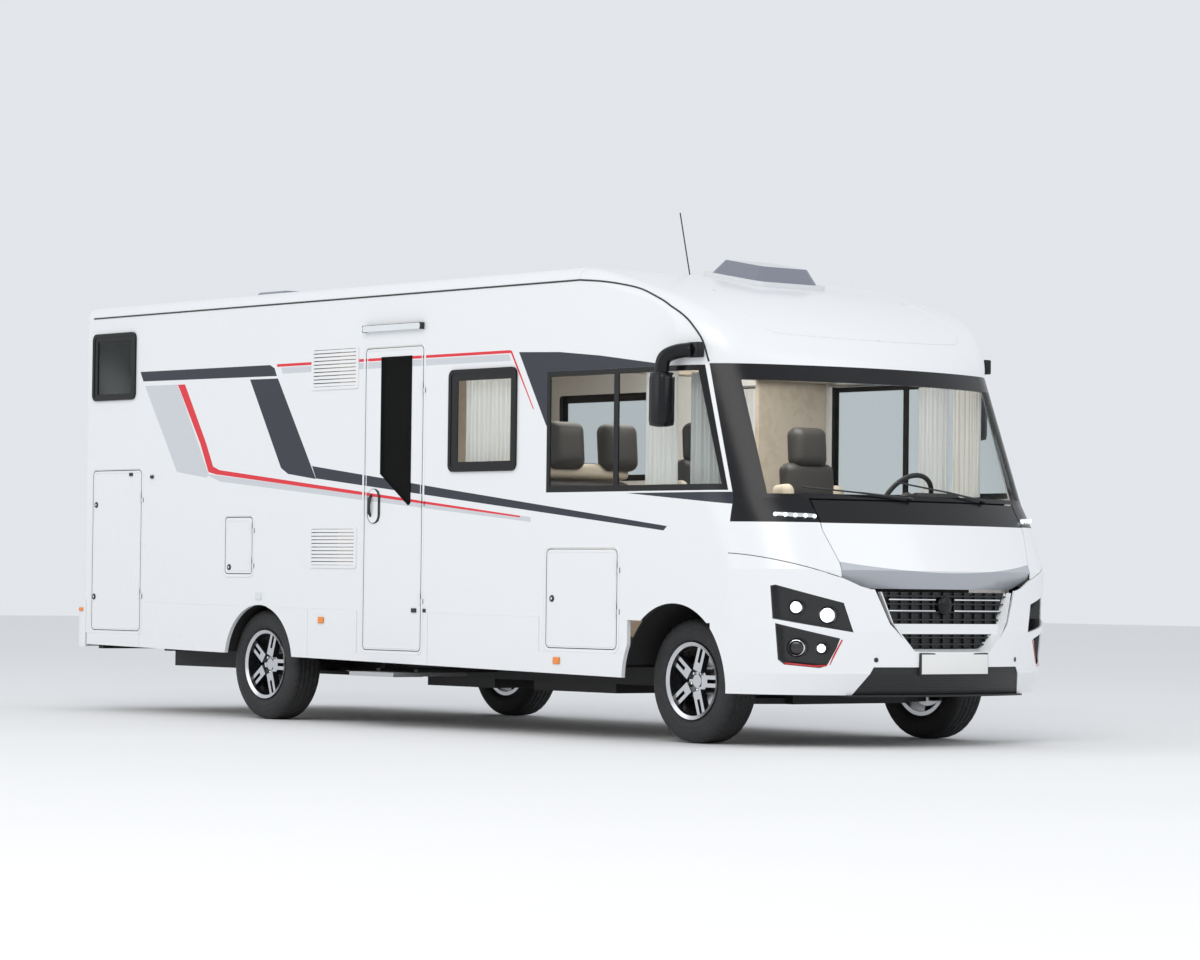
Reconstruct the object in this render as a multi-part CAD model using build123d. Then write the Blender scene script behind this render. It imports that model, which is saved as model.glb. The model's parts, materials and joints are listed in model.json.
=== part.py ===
from build123d import *
from math import asin, atan2, cos, degrees, pi, radians, sin, sqrt
import os

os.makedirs("parts", exist_ok=True)

# Integrated motorhome on a front-drive camper chassis, with its habitation door on the right.
# Millimetres, X forward, Y left, Z up from the ground.
# While the pieces are made X counts from the front axle. They move to mid length when written.

# Overall sizes
LENGTH = 7500
FRONT_OVERHANG = 1130
WHEELBASE = 4143
HALF_WIDTH = 1165
ROOF_TOP = 2768
REAR_OVERHANG = LENGTH - FRONT_OVERHANG - WHEELBASE
REAR_END = FRONT_OVERHANG - LENGTH
MID_SHIFT = LENGTH / 2 - FRONT_OVERHANG

# Body shell
WALL = 32
SKIN = 6
REAR_WALL_X = -6300
REAR_CORNER_R = 100
ROOF_EDGE_R = 80
WALL_END_X = -6200
CAP_START_X = -860
SEAM_Z = 2688
RIDGE_REAR_Z = 750
RIDGE_FRONT_Z = 695
SKIRT_REAR_Z = 452
SKIRT_FRONT_Z = 360
SKIRT_PROUD = 6
SKIRT_THICK = 20
GAP = 5

# Nose, as plan curves: height, centre line X, front radius, corner radius
NOSE_LEVELS = (
    (300, 1062, 2200, 690),
    (420, 1116, 2200, 690),
    (660, 1122, 2200, 610),
    (1000, 1096, 2250, 500),
    (1264, 985, 2400, 520),
    (1400, 890, 2450, 500),
    (2165, 560, 2450, 450),
)
SCUTTLE_Z = 1264
GLASS_LOW_Z = 1400
BAND_TOP_Z = 2165
GLASS_TOP_Z = 2072
GLASS_HALF = 985
GLASS_BOTTOM_Z = 1424
BONNET_CREASE_Z = 1000
BONNET_TOP_Z = 1390
BONNET_AXIS = (885, 1378)
LID_HALF = 795
ARM_Y = 150
HINGE_PIN_R = 4
GRILLE_TOP_Z = 893
GRILLE_X = 1020

# Front cap, as a fan about an axis along Y: fan angle, crown distance, front radius, corner radius
CAP_AXIS_Z = BAND_TOP_Z
CAP_FAN = (
    (0, 1420, 2450, 450),
    (12, 1252, 4000, 250),
    (25, 1000, 7000, 115),
    (40, 782, 12000, 90),
    (60, 641, 30000, 82),
    (90, ROOF_TOP - CAP_AXIS_Z, 60000, ROOF_EDGE_R),
)
CAP_CORE_R = 150

# Wheels and axles
TYRE_R = 357
TYRE_W = 225
RIM_R = 226
TRACK_FRONT = 1808
TRACK_REAR = 1980
KINGPIN_Y = 800
HUB_Z = TYRE_R
ARCH_REAR_X = -4115
ARCH_REAR_R = 385
ARCH_FRONT_X = 15
ARCH_FRONT_R = 443

# Openings on the right side: rear edge, front edge, sill, head, from the front axle and the ground
DOOR = (-2972, -2370, 474, 2362)
REAR_LOCKER = (-6132, -5524, 547, 1640)
FRONT_LOCKER = (-1139, -483, 523, 1110)
HATCH = (-4512, -4200, 941, 1314)
REAR_WINDOW = (-6147, -5612, 2118, 2578)
SIDE_WINDOW = (-2100, -1436, 1576, 2199)
KITCHEN_WINDOW = (-3900, -2900, 1576, 2199)
DOOR_WINDOW = ((-2808, 2304), (-2489, 2304), (-2489, 1391), (-2512, 1375), (-2808, 1575))
CAB_WINDOW = ((-1152, 2157), (204, 2157), (441, 1442), (-1152, 1442))
VENTS = ((-3552, -3047, 2118, 2390), (-3552, -3047, 985, 1251))
DOOR_CORNER_R = 30
LOCKER_CORNER_R = 35
WINDOW_CORNER_R = 45
HINGE_R = 6

# Floor and frame
SEAT_GAP = 0.3
FLOOR_TOP = 600
FLOOR_THICK = 40
RAIL_Y = 430
RAIL_W = 60
RAIL_LOW = 300
RAIL_TOP = 420
NOSE_RAIL_LOW = 440
FRAME_REAR_X = -6150
TOW_Z = 490
TOW_SPACING = (83, 56)
TOW_HOLE_R = 8.5


def box(x0, x1, y0, y1, z0, z1):
    """Block between two corners."""
    return Pos((x0 + x1) / 2, (y0 + y1) / 2, (z0 + z1) / 2) * Box(x1 - x0, y1 - y0, z1 - z0)


def polygon(points):
    return make_face(Polyline(*points, close=True))


def prism_y(face, y0, y1):
    """Extrude a face drawn as (x, z) between two Y planes."""
    return extrude(Plane(origin=(0, y1, 0), x_dir=(1, 0, 0), z_dir=(0, -1, 0)) * face, y1 - y0)


def prism_x(face, x0, x1):
    """Extrude a face drawn as (y, z) between two X planes."""
    return extrude(Plane(origin=(x0, 0, 0), x_dir=(0, 1, 0), z_dir=(1, 0, 0)) * face, x1 - x0)


def prism_z(face, z0, z1):
    return extrude(Pos(0, 0, z0) * face, z1 - z0)


def rod(start, end, radius):
    """Round bar between two points."""
    run = Vector(*end) - Vector(*start)
    place = Plane(origin=start, z_dir=run)
    return place * Cylinder(radius, run.length, align=(Align.CENTER, Align.CENTER, Align.MIN))


def rounded(x0, x1, z0, z1, radius):
    """Rounded rectangle drawn as (x, z)."""
    return Pos((x0 + x1) / 2, (z0 + z1) / 2) * RectangleRounded(x1 - x0, z1 - z0, radius)


def other_side(shape):
    return mirror(shape, about=Plane.XZ)


def both_sides(shape):
    return [shape, other_side(shape)]


def pieces(*shapes):
    """Solids that share a node."""
    found = []
    for shape in shapes:
        for item in shape if isinstance(shape, (list, tuple)) else [shape]:
            found += item.solids()
    return Compound(found)


def write(name, shape):
    moved = [Pos(MID_SHIFT, 0, 0) * solid for solid in shape.solids()]
    export_step(moved[0] if len(moved) == 1 else Compound(moved), f"parts/{name}.step")


# Outer surfaces


def nose_curve(crown, front_r, corner_r, half):
    """Centre of the corner arc and the point where it meets the front arc."""
    corner_y = half - corner_r
    corner_x = crown - front_r + sqrt((front_r - corner_r) ** 2 - corner_y**2)
    turn = atan2(corner_y, corner_x - crown + front_r)
    joint = (crown - front_r + front_r * cos(turn), front_r * sin(turn))
    return corner_x, corner_y, turn, joint


def nose_face(base, crown, front_r, corner_r, inset=0):
    """Plan of the nose: straight sides, corner arcs and a wide front arc."""
    crown, front_r, corner_r = crown - inset, front_r - inset, corner_r - inset
    half = HALF_WIDTH - inset
    corner_x, corner_y, turn, joint = nose_curve(crown, front_r, corner_r, half)
    middle = (turn + pi / 2) / 2
    bend = (corner_x + corner_r * cos(middle), corner_y + corner_r * sin(middle))
    edges = [
        Line((base, -half), (corner_x, -half)),
        ThreePointArc((corner_x, -half), (bend[0], -bend[1]), (joint[0], -joint[1])),
        ThreePointArc((joint[0], -joint[1]), (crown, 0), joint),
        ThreePointArc(joint, bend, (corner_x, half)),
        Line((corner_x, half), (base, half)),
        Line((base, half), (base, -half)),
    ]
    return make_face(edges)


def nose_solid(inset, low, high):
    """Nose between two of its levels, inset from the outer surface."""
    levels = [level for level in NOSE_LEVELS if low <= level[0] <= high]
    faces = [Pos(0, 0, z) * nose_face(CAP_START_X, *sizes, inset) for z, *sizes in levels]
    parts = [loft([a, b], ruled=True) for a, b in zip(faces, faces[1:])]
    return parts[0].fuse(*parts[1:]) if len(parts) > 1 else parts[0]


def cap_solid(inset):
    """Front cap lofted through a fan of sections."""
    faces = []
    for angle, *sizes in CAP_FAN:
        turn = radians(angle)
        place = Plane(
            origin=(CAP_START_X, 0, CAP_AXIS_Z),
            x_dir=(cos(turn), 0, sin(turn)),
            z_dir=(-sin(turn), 0, cos(turn)),
        )
        faces.append(place * nose_face(CAP_CORE_R - inset, *sizes, inset))
    return loft(faces)


def coach_solid(inset):
    """Straight part of the body behind the cap."""
    x0, x1 = REAR_WALL_X + inset, CAP_START_X
    half, top = HALF_WIDTH - inset, ROOF_TOP - inset
    solid = box(x0, x1 + 200, -half, half, SKIRT_REAR_Z, top)
    uprights = solid.edges().filter_by(Axis.Z).group_by(Axis.X)[0]
    solid = fillet(uprights, REAR_CORNER_R - inset)
    rim = solid.edges().group_by(Axis.Z)[-1]
    rim = [edge for edge in rim if edge.center().X < x1 + 199]
    solid = fillet(rim, ROOF_EDGE_R - inset)
    return solid & box(x0 - 1, x1, -half - 1, half + 1, 0, top + 1)


def seam_edges():
    """Line where the roof and the cap meet the side, drawn as (x, z)."""
    first = ThreePointArc((CAP_START_X, SEAM_Z), (-489, 2651), (-129, 2542))
    second = TangentArc((-129, 2542), (155, 2300), tangent=first % 1)
    last = Line((155, 2300), (224, BAND_TOP_Z))
    return [first, second, last]


def below_seam(rear_x, low):
    """Area of the side below the roof seam and behind the screen pillar."""
    start = Line((rear_x, low), (rear_x, SEAM_Z))
    top = Line((rear_x, SEAM_Z), (CAP_START_X, SEAM_Z))
    pillar = Line((224, BAND_TOP_Z), (477, GLASS_LOW_Z))
    front = Polyline((477, GLASS_LOW_Z), (485, 940), (336, 690), (336, low), (rear_x, low))
    return make_face([start, top, *seam_edges(), pillar, *front.edges()])


def ridge_z(x):
    """Height of the joint between wall and skirt."""
    share = (x - WALL_END_X) / (ARCH_FRONT_X - WALL_END_X)
    return RIDGE_REAR_Z + (RIDGE_FRONT_Z - RIDGE_REAR_Z) * share


def skirt_z(x):
    share = (x - REAR_END) / (ARCH_FRONT_X - REAR_END)
    return SKIRT_REAR_Z + (SKIRT_FRONT_Z - SKIRT_REAR_Z) * share


NOSE_OUT = nose_solid(0, 300, BAND_TOP_Z)
NOSE_WALL = NOSE_OUT - nose_solid(WALL, 300, BAND_TOP_Z)
NOSE_SKIN = NOSE_OUT - nose_solid(SKIN, 300, BAND_TOP_Z)
CAP_SHELL = cap_solid(0) - cap_solid(WALL)
COACH_SHELL = coach_solid(0) - coach_solid(WALL)

ARCHES = [
    rod((ARCH_REAR_X, -1300, HUB_Z), (ARCH_REAR_X, 1300, HUB_Z), ARCH_REAR_R),
    rod((ARCH_FRONT_X, -1300, HUB_Z), (ARCH_FRONT_X, 1300, HUB_Z), ARCH_FRONT_R),
]


# Hinged panels of the right side


def panel_opening(sizes, radius):
    x0, x1, z0, z1 = sizes
    return prism_y(rounded(x0, x1, z0, z1, radius), -HALF_WIDTH - 60, -HALF_WIDTH + 200)


def hinge_axis(sizes):
    """Upright hinge axis just outside the front edge of a side panel."""
    return sizes[1] - GAP / 2, -HALF_WIDTH - HINGE_R


def hinge_parts(sizes, heights):
    """Barrels and leaves: first those of the panel, then those of the wall."""
    x, y = hinge_axis(sizes)
    moving, fixed = [], []
    barrel = 30
    for z in heights:
        for side, low, group in ((-1, z, moving), (1, z - barrel - 0.3, fixed)):
            leaf = box(min(x, x + side * 26), max(x, x + side * 26), y + 1, y + HINGE_R, low, low + barrel)
            group.append(rod((x, y, low), (x, y, low + barrel), HINGE_R) + leaf)
    return moving, fixed


def side_panel(sizes, radius, heights):
    x0, x1, z0, z1 = sizes
    face = rounded(x0 + GAP, x1 - GAP, z0 + GAP, z1 - GAP, radius - GAP)
    slab = prism_y(face, -HALF_WIDTH, -HALF_WIDTH + WALL)
    moving, fixed = hinge_parts(sizes, heights)
    return slab.fuse(*moving), fixed


ENTRY_DOOR, DOOR_LEAVES = side_panel(DOOR, DOOR_CORNER_R, (800, 1400, 2100))
LOCKER_R, LOCKER_R_LEAVES = side_panel(REAR_LOCKER, LOCKER_CORNER_R, (800, 1450))
LOCKER_F, LOCKER_F_LEAVES = side_panel(FRONT_LOCKER, LOCKER_CORNER_R, (760, 1000))
HATCH_LID, HATCH_LEAVES = side_panel(HATCH, 25, (1010, 1240))


# Walls


def wall_drop(sizes, below):
    """Part of the side wall that comes down around a door."""
    x0, x1, z0, _ = sizes
    return box(x0 - 62, x1 + 42, -HALF_WIDTH, -HALF_WIDTH + WALL, z0 - below, 760)


def plain_wall():
    """Right side wall from the rear corner to the screen pillar, with no openings."""
    side = prism_y(below_seam(WALL_END_X, 300), -1300, 0)
    straight = COACH_SHELL & side & box(WALL_END_X, CAP_START_X, -1300, -HALF_WIDTH + WALL, 300, SEAM_Z)
    nose = NOSE_WALL & side & box(CAP_START_X, 600, -1300, -700, 300, BAND_TOP_Z)
    cap = CAP_SHELL & side & box(CAP_START_X, 600, -1300, -700, BAND_TOP_Z, SEAM_Z + 1)
    corner = box(CAP_START_X, CAP_START_X + 190, -HALF_WIDTH, -HALF_WIDTH + WALL, BAND_TOP_Z, BAND_TOP_Z + 200)
    wall = straight.fuse(nose, cap, corner)
    ridge = [(WALL_END_X - 100, 0), (WALL_END_X - 100, ridge_z(WALL_END_X - 100)), (600, ridge_z(600)), (600, 0)]
    return wall - prism_y(polygon(ridge), -1300, 0)


def cut_side(wall, openings):
    for tool in openings:
        wall = wall - tool
    return wall - ARCHES[0] - ARCHES[1]


def window_hole(sizes):
    x0, x1, z0, z1 = sizes
    return prism_y(rounded(x0 + 18, x1 - 18, z0 + 18, z1 - 18, WINDOW_CORNER_R - 18), -1300, -1000)


def cab_window_face(grow):
    """Cab side window: square at the rear, raked along the pillar in front."""
    (x0, z1), (x1, _), (x2, z0), _ = CAB_WINDOW
    points = [(x0 - grow, z1 + grow), (x1 + grow, z1 + grow), (x2 + grow, z0 - grow), (x0 - grow, z0 - grow)]
    return polygon(points)


CAB_HOLE = prism_y(cab_window_face(0), -1300, -900)
SIDE_DROPS = [wall_drop(DOOR, 20), wall_drop(FRONT_LOCKER, 20)]
REAR_DROP = box(WALL_END_X, REAR_LOCKER[1] + 42, -HALF_WIDTH, -HALF_WIDTH + WALL, REAR_LOCKER[2] - 20, 760)
PLAIN = plain_wall()

right = PLAIN.fuse(*SIDE_DROPS, REAR_DROP)
right = cut_side(
    right,
    [
        panel_opening(DOOR, DOOR_CORNER_R),
        panel_opening(REAR_LOCKER, LOCKER_CORNER_R),
        panel_opening(FRONT_LOCKER, LOCKER_CORNER_R),
        panel_opening(HATCH, 25),
        window_hole(REAR_WINDOW),
        window_hole(SIDE_WINDOW),
        CAB_HOLE,
        *[prism_y(rounded(a + 15, b - 15, c + 15, d - 15, 8), -1300, -1000) for a, b, c, d in VENTS],
    ],
)
side_wall_right = right.fuse(*DOOR_LEAVES, *LOCKER_R_LEAVES, *LOCKER_F_LEAVES, *HATCH_LEAVES)

left = PLAIN.fuse(REAR_DROP)
left = cut_side(
    left,
    [
        panel_opening(REAR_LOCKER, LOCKER_CORNER_R),
        window_hole(REAR_WINDOW),
        window_hole(SIDE_WINDOW),
        window_hole(KITCHEN_WINDOW),
        CAB_HOLE,
    ],
)
side_wall_left = other_side(left.fuse(*LOCKER_R_LEAVES))

rear_wall = COACH_SHELL & box(REAR_WALL_X - 1, WALL_END_X, -1300, 1300, RIDGE_REAR_Z, SEAM_Z)

# Roof and cap

SKYLIGHT = (-540, 2722, 9.8, 540, 404)
ROOF_VENT = (-4950, -350, 480, 396)


def skylight_place():
    x, z, tilt, _, _ = SKYLIGHT
    turn = radians(tilt)
    return Plane(origin=(x, 0, z), x_dir=(cos(turn), 0, -sin(turn)), z_dir=(sin(turn), 0, cos(turn)))


def square_ring(outer, inner, z0, z1):
    ring = RectangleRounded(outer, outer, 40) - RectangleRounded(inner, inner, 20)
    return extrude(Pos(0, 0, z0) * ring, z1 - z0)


roof = COACH_SHELL & box(REAR_WALL_X - 1, CAP_START_X, -1300, 1300, SEAM_Z, ROOF_TOP + 1)
vx, vy, vent_out, vent_in = ROOF_VENT
roof_panel = roof - Pos(vx, vy, ROOF_TOP - 60) * Box(vent_in, vent_in, 200)

cap_sides = prism_y(below_seam(CAP_START_X - 10, 300), -1300, 1300)
cap = (CAP_SHELL - cap_sides) & box(CAP_START_X, 700, -1300, 1300, BAND_TOP_Z, ROOF_TOP + 50)
sky_in = SKYLIGHT[4]
front_cap = cap - skylight_place() * Box(sky_in, sky_in, 300)

sky_frame = skylight_place() * square_ring(SKYLIGHT[3], sky_in, -70, 24) - cap_solid(0)
vent_frame = Pos(vx, vy, ROOF_TOP) * square_ring(vent_out, vent_in, 0, 25)
ANTENNA_FOOT = (-1150, -60)
ANTENNA_RISE = 415
ax, ay = ANTENNA_FOOT
antenna = Pos(ax, ay, ROOF_TOP) * Cone(26, 14, 28, align=(Align.CENTER, Align.CENTER, Align.MIN))
antenna = antenna + rod((ax, ay, ROOF_TOP + 20), (ax - 100, ay, ROOF_TOP + ANTENNA_RISE), 4)
roof_frames = pieces(sky_frame, vent_frame, antenna)


def dome(size, height, skin):
    """Shallow pillow-shaped lid, open below."""
    base = RectangleRounded(size, size, 60)
    top = Pos(0, 0, height) * RectangleRounded(size - 110, size - 110, 40)
    hollow = RectangleRounded(size - 2 * skin, size - 2 * skin, 52)
    hollow_top = Pos(0, 0, height - skin) * RectangleRounded(size - 110 - 2 * skin, size - 110 - 2 * skin, 34)
    return loft([base, top]) - loft([hollow, hollow_top])


SKY_LID_Z = 24.5
skylight_lid = skylight_place() * (Pos(0, 0, SKY_LID_Z) * dome(SKYLIGHT[3] - 60, 85, 6))
roof_vent_lid = Pos(vx, vy, ROOF_TOP + 25.5) * dome(vent_out - 30, 60, 6)

# Screen and cab front

FRONT_OF_PILLAR = prism_y(
    polygon([(224, BAND_TOP_Z), (900, BAND_TOP_Z), (1300, GLASS_LOW_Z), (477, GLASS_LOW_Z)]), -1300, 1300
)
screen_prism = prism_x(
    polygon(
        [
            (-GLASS_HALF, GLASS_TOP_Z),
            (GLASS_HALF, GLASS_TOP_Z),
            (GLASS_HALF + 20, GLASS_BOTTOM_Z),
            (-GLASS_HALF - 20, GLASS_BOTTOM_Z),
        ]
    ),
    0,
    1300,
)
screen_zone = nose_solid(0, GLASS_LOW_Z, BAND_TOP_Z)
screen_inner = nose_solid(WALL, GLASS_LOW_Z, BAND_TOP_Z)
glass_inner = nose_solid(SKIN, GLASS_LOW_Z, BAND_TOP_Z)
surround = (screen_zone - screen_inner) & FRONT_OF_PILLAR
windscreen = (screen_zone - glass_inner) & FRONT_OF_PILLAR & screen_prism
surround = surround - screen_prism


# Half width of the bonnet: height, half width
BONNET_SIDE = ((GRILLE_TOP_Z, 570), (908, 629), (958, 745), (1040, 745), (1220, 798), (GLASS_LOW_Z, 803))


def bonnet_outline(shrink, top):
    """Front view of the bonnet, made smaller all round but at the top."""
    side = [(half - shrink, z) for z, half in BONNET_SIDE[:-1]]
    side += [(BONNET_SIDE[-1][1] - shrink, top)]
    return polygon([(-y, z) for y, z in side] + [(y, z) for y, z in reversed(side)])


NOSE_FRONT = box(300, 1300, -1300, 1300, 0, 3000)
WALL_FRONT = prism_y(
    polygon([(477, GLASS_LOW_Z), (485, 940), (336, 690), (336, 0), (1300, 0), (1300, GLASS_LOW_Z)]), -1300, 1300
)
bonnet_hole = prism_x(bonnet_outline(-GAP / 2, GLASS_LOW_Z + 1), 300, 1300)
scuttle = NOSE_SKIN & WALL_FRONT & box(300, 1300, -1300, 1300, SCUTTLE_Z, GLASS_LOW_Z)
screen_surround = pieces(surround, scuttle - bonnet_hole)

bonnet_prism = prism_x(bonnet_outline(GAP / 2, BONNET_TOP_Z), 300, 1300)
bonnet_prism = bonnet_prism & box(300, 1300, -LID_HALF, LID_HALF, 0, 3000)
bonnet_upper = NOSE_SKIN & bonnet_prism & box(300, 1300, -1300, 1300, BONNET_CREASE_Z, BONNET_TOP_Z)
cowl_low = polygon([(-1200, 1102), (-745, 960), (745, 960), (1200, 1102), (1200, 1300), (-1200, 1300)])
cowl_band = NOSE_SKIN & WALL_FRONT & box(300, 1300, -1300, 1300, 900, SCUTTLE_Z)
cowl_band = cowl_band & prism_x(cowl_low, 300, 1300)
cowl_panels = pieces(cowl_band - bonnet_hole)

# Sloping lower face of the bonnet, under its crease
slope_out = loft(
    [
        Pos(0, 0, BONNET_CREASE_Z) * nose_face(300, 1096, 2250, 500),
        Pos(0, 0, GRILLE_TOP_Z + 4) * nose_face(300, 1030, 2250, 500),
    ],
    ruled=True,
)
slope_in = loft(
    [
        Pos(0, 0, BONNET_CREASE_Z) * nose_face(300, 1096, 2250, 500, SKIN),
        Pos(0, 0, GRILLE_TOP_Z + 4) * nose_face(300, 1030, 2250, 500, SKIN),
    ],
    ruled=True,
)
bonnet_lower = (slope_out - slope_in) & bonnet_prism

arm_x, arm_z = BONNET_AXIS
arm_face = polygon(
    [(arm_x - 11, arm_z + 8), (arm_x + 60, arm_z + 8), (arm_x + 160, arm_z - 108), (arm_x + 45, arm_z - 108)]
)
arms = []
for side in (-1, 1):
    y = side * ARM_Y
    arm = prism_y(arm_face, y - 6, y + 6) & nose_solid(SKIN / 2, SCUTTLE_Z, BAND_TOP_Z)
    arms.append(arm - rod((arm_x, y - 9, arm_z), (arm_x, y + 9, arm_z), HINGE_PIN_R + 0.3))
bonnet = bonnet_upper.fuse(bonnet_lower, *arms)

# Bumper

BUMPER_LOW = 300
GRILLE_OUT = ((-600, 1000), (600, 1000), (466, 701), (300, 540), (-300, 540), (-466, 701))
GRILLE_IN = ((-500, 900), (500, 900), (416, 701), (292, 560), (-292, 560), (-416, 701))
MESH_AREA = ((-563, 458), (563, 458), (660, 290), (-660, 290))
bumper_area = polygon(
    [(-1200, 1097), (-745, 955), (745, 955), (1200, 1097), (1200, BUMPER_LOW), (-1200, BUMPER_LOW)]
)
bumper_shell = NOSE_OUT - nose_solid(12, 300, BAND_TOP_Z)
bumper = bumper_shell & WALL_FRONT & prism_x(bumper_area, 300, 1300)
bumper = bumper - ARCHES[1] - prism_x(polygon(GRILLE_OUT), 700, 1300) - prism_x(polygon(MESH_AREA), 700, 1300)
bumper = bumper - bonnet_hole
frame_back = GRILLE_X - 20


def tapered(outer, inner, x_out, x_in):
    """Ring-shaped funnel from an outline in front to a smaller one behind."""
    front = Plane(origin=(x_out, 0, 0), x_dir=(0, 1, 0), z_dir=(1, 0, 0)) * polygon(outer)
    back = Plane(origin=(x_in, 0, 0), x_dir=(0, 1, 0), z_dir=(1, 0, 0)) * polygon(inner)
    return loft([back, front], ruled=True)


def shifted(points, grow):
    return [(y + grow * (1 if y > 0 else -1), z + grow * (1 if z > 700 else -1)) for y, z in points]


funnel = tapered(shifted(GRILLE_OUT, 12), shifted(GRILLE_IN, 12), 1140, frame_back)
funnel = funnel - tapered(GRILLE_OUT, GRILLE_IN, 1140.5, frame_back - 0.5)
funnel = (funnel & NOSE_OUT) - prism_x(polygon([(-900, 880), (900, 880), (900, 1200), (-900, 1200)]), 700, 1300)
bar = box(frame_back, GRILLE_X + 12, -480, 480, 644, 701)
bar = bar & tapered(shifted(GRILLE_OUT, 11), shifted(GRILLE_IN, 11), 1140, frame_back)

# Headlamp recesses, drawn on an upright plane facing outward at each front corner

LAMP_POINT = (858, -873)
LAMP_TURN = 47.8
UPPER_POD = ((-216, 902), (-187, 908), (176, 810), (231, 658), (-202, 730))
LOWER_POD = ((-187, 694), (160, 612), (140, 557), (88, 469), (47, 458), (-135, 475), (-171, 502))
# Lamps: along the plane, height, radius
LAMPS = ((-88, 788, 44), (88, 745, 52), (-83, 562, 56), (57, 560, 36))
POD_DEPTH = 120


def lamp_plane(out):
    """Plane of the lamps, moved outward by a distance."""
    turn = radians(LAMP_TURN)
    x, y = LAMP_POINT
    place = (x + out * cos(turn), y - out * sin(turn), 0)
    return Plane(origin=place, x_dir=(sin(turn), cos(turn), 0), z_dir=(cos(turn), -sin(turn), 0))


def grown(points, amount):
    centre_s = sum(p[0] for p in points) / len(points)
    centre_z = sum(p[1] for p in points) / len(points)
    return [(s + amount * (1 if s > centre_s else -1), z + amount * (1 if z > centre_z else -1)) for s, z in points]


pod_holes, pods = [], []
pod_limit = nose_solid(8, 300, BAND_TOP_Z)
for outline in (UPPER_POD, LOWER_POD):
    hole = extrude(lamp_plane(-POD_DEPTH) * polygon(outline), POD_DEPTH + 200)
    back = extrude(lamp_plane(-POD_DEPTH - 6) * polygon(grown(outline, 6)), POD_DEPTH + 206)
    pods.append((back - hole) & pod_limit)
    pods[-1] = pods[-1].fuse(extrude(lamp_plane(-POD_DEPTH - 6) * polygon(grown(outline, 6)), 6))
    pod_holes.append(back)
lamp_bodies = []
for s, z, r in LAMPS:
    cup = lamp_plane(-POD_DEPTH) * (Pos(s, z, 0) * Cylinder(r, 75, align=(Align.CENTER, Align.CENTER, Align.MIN)))
    lamp_bodies.append(cup)
upper = pods[0].fuse(lamp_bodies[0], lamp_bodies[1])
lower = pods[1].fuse(lamp_bodies[2], lamp_bodies[3])
headlamps = pieces(both_sides(upper), both_sides(lower))
for hole in pod_holes:
    bumper = bumper - hole - other_side(hole)
bumper_front = pieces(bumper.fuse(funnel, bar))

# Grilles

grille_zone = tapered(shifted(GRILLE_OUT, -1), shifted(GRILLE_IN, -1), 1140, frame_back)


def grille_part(z0, z1, columns, rows):
    """Backing plate with a lattice of ribs in front."""
    plate = box(frame_back + 1, frame_back + 7, -520, 520, z0, z1)
    ribs = []
    for i in range(columns):
        y = -500 + 1000 * i / (columns - 1)
        ribs.append(box(frame_back + 6, frame_back + 22, y - 4, y + 4, z0, z1))
    for i in range(rows):
        z = z0 + (z1 - z0) * (i + 0.5) / rows
        ribs.append(box(frame_back + 6, frame_back + 26, -520, 520, z - 4, z + 4))
    return plate.fuse(*ribs) & grille_zone


upper_grille = grille_part(702, 880, 13, 4)
lower_grille = grille_part(566, 643, 13, 2)
mesh_shell = (nose_solid(5, 300, BAND_TOP_Z) - nose_solid(11, 300, BAND_TOP_Z)) & NOSE_FRONT
mesh_area = [(-562.7, 457.7), (562.7, 457.7), (653.5, 300), (-653.5, 300)]
lower_mesh = mesh_shell & prism_x(polygon(mesh_area), 700, 1300)
lip_face = nose_face(700, 1080, 2200, 690)
lip = prism_z(lip_face - nose_face(690, 1080, 2200, 690, 60), 290, 299.7) & box(700, 1300, -690, 690, 200, 300)
grilles = pieces(upper_grille, lower_grille, lower_mesh, lip)

# Windows

def framed_window(sizes):
    """Outer frame and pane of a hung side window."""
    x0, x1, z0, z1 = sizes
    ring = rounded(x0, x1, z0, z1, WINDOW_CORNER_R)
    ring = ring - rounded(x0 + 26, x1 - 26, z0 + 26, z1 - 26, WINDOW_CORNER_R - 20)
    frame = prism_y(ring, -HALF_WIDTH - 14, -HALF_WIDTH)
    pane = prism_y(rounded(x0 + 26, x1 - 26, z0 + 26, z1 - 26, WINDOW_CORNER_R - 20), -HALF_WIDTH - 10, -HALF_WIDTH - 4)
    return frame.fuse(pane)


cab_pane = (NOSE_OUT - nose_solid(8, 300, BAND_TOP_Z)) & prism_y(cab_window_face(-1), -1300, -900)
straight_pane = box(CAB_WINDOW[0][0] + 1, CAP_START_X, -HALF_WIDTH, -HALF_WIDTH + 8, 1443, 2156)
cab_pane = cab_pane.fuse(straight_pane)
windows = pieces(
    both_sides(framed_window(REAR_WINDOW)),
    both_sides(framed_window(SIDE_WINDOW)),
    other_side(framed_window(KITCHEN_WINDOW)),
    both_sides(cab_pane),
)

door_cut = prism_y(polygon(DOOR_WINDOW), -HALF_WIDTH - 60, -HALF_WIDTH + 60)
entry_door = ENTRY_DOOR - door_cut
door_pane = prism_y(polygon([(-2807.5, 2303.5), (-2489.5, 2303.5), (-2489.5, 1391), (-2512, 1375.6), (-2807.5, 1575.5)]), -HALF_WIDTH - 3, -HALF_WIDTH + 12)
handle_x, handle_z = -2872, 1374
handle = Plane(origin=(handle_x, -HALF_WIDTH, handle_z), x_dir=(1, 0, 0), z_dir=(0, -1, 0)) * extrude(
    SlotOverall(210, 104, rotation=90), 8
)
door_window = pieces(door_pane)
entry_door = entry_door.fuse(handle)

# Vents


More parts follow.
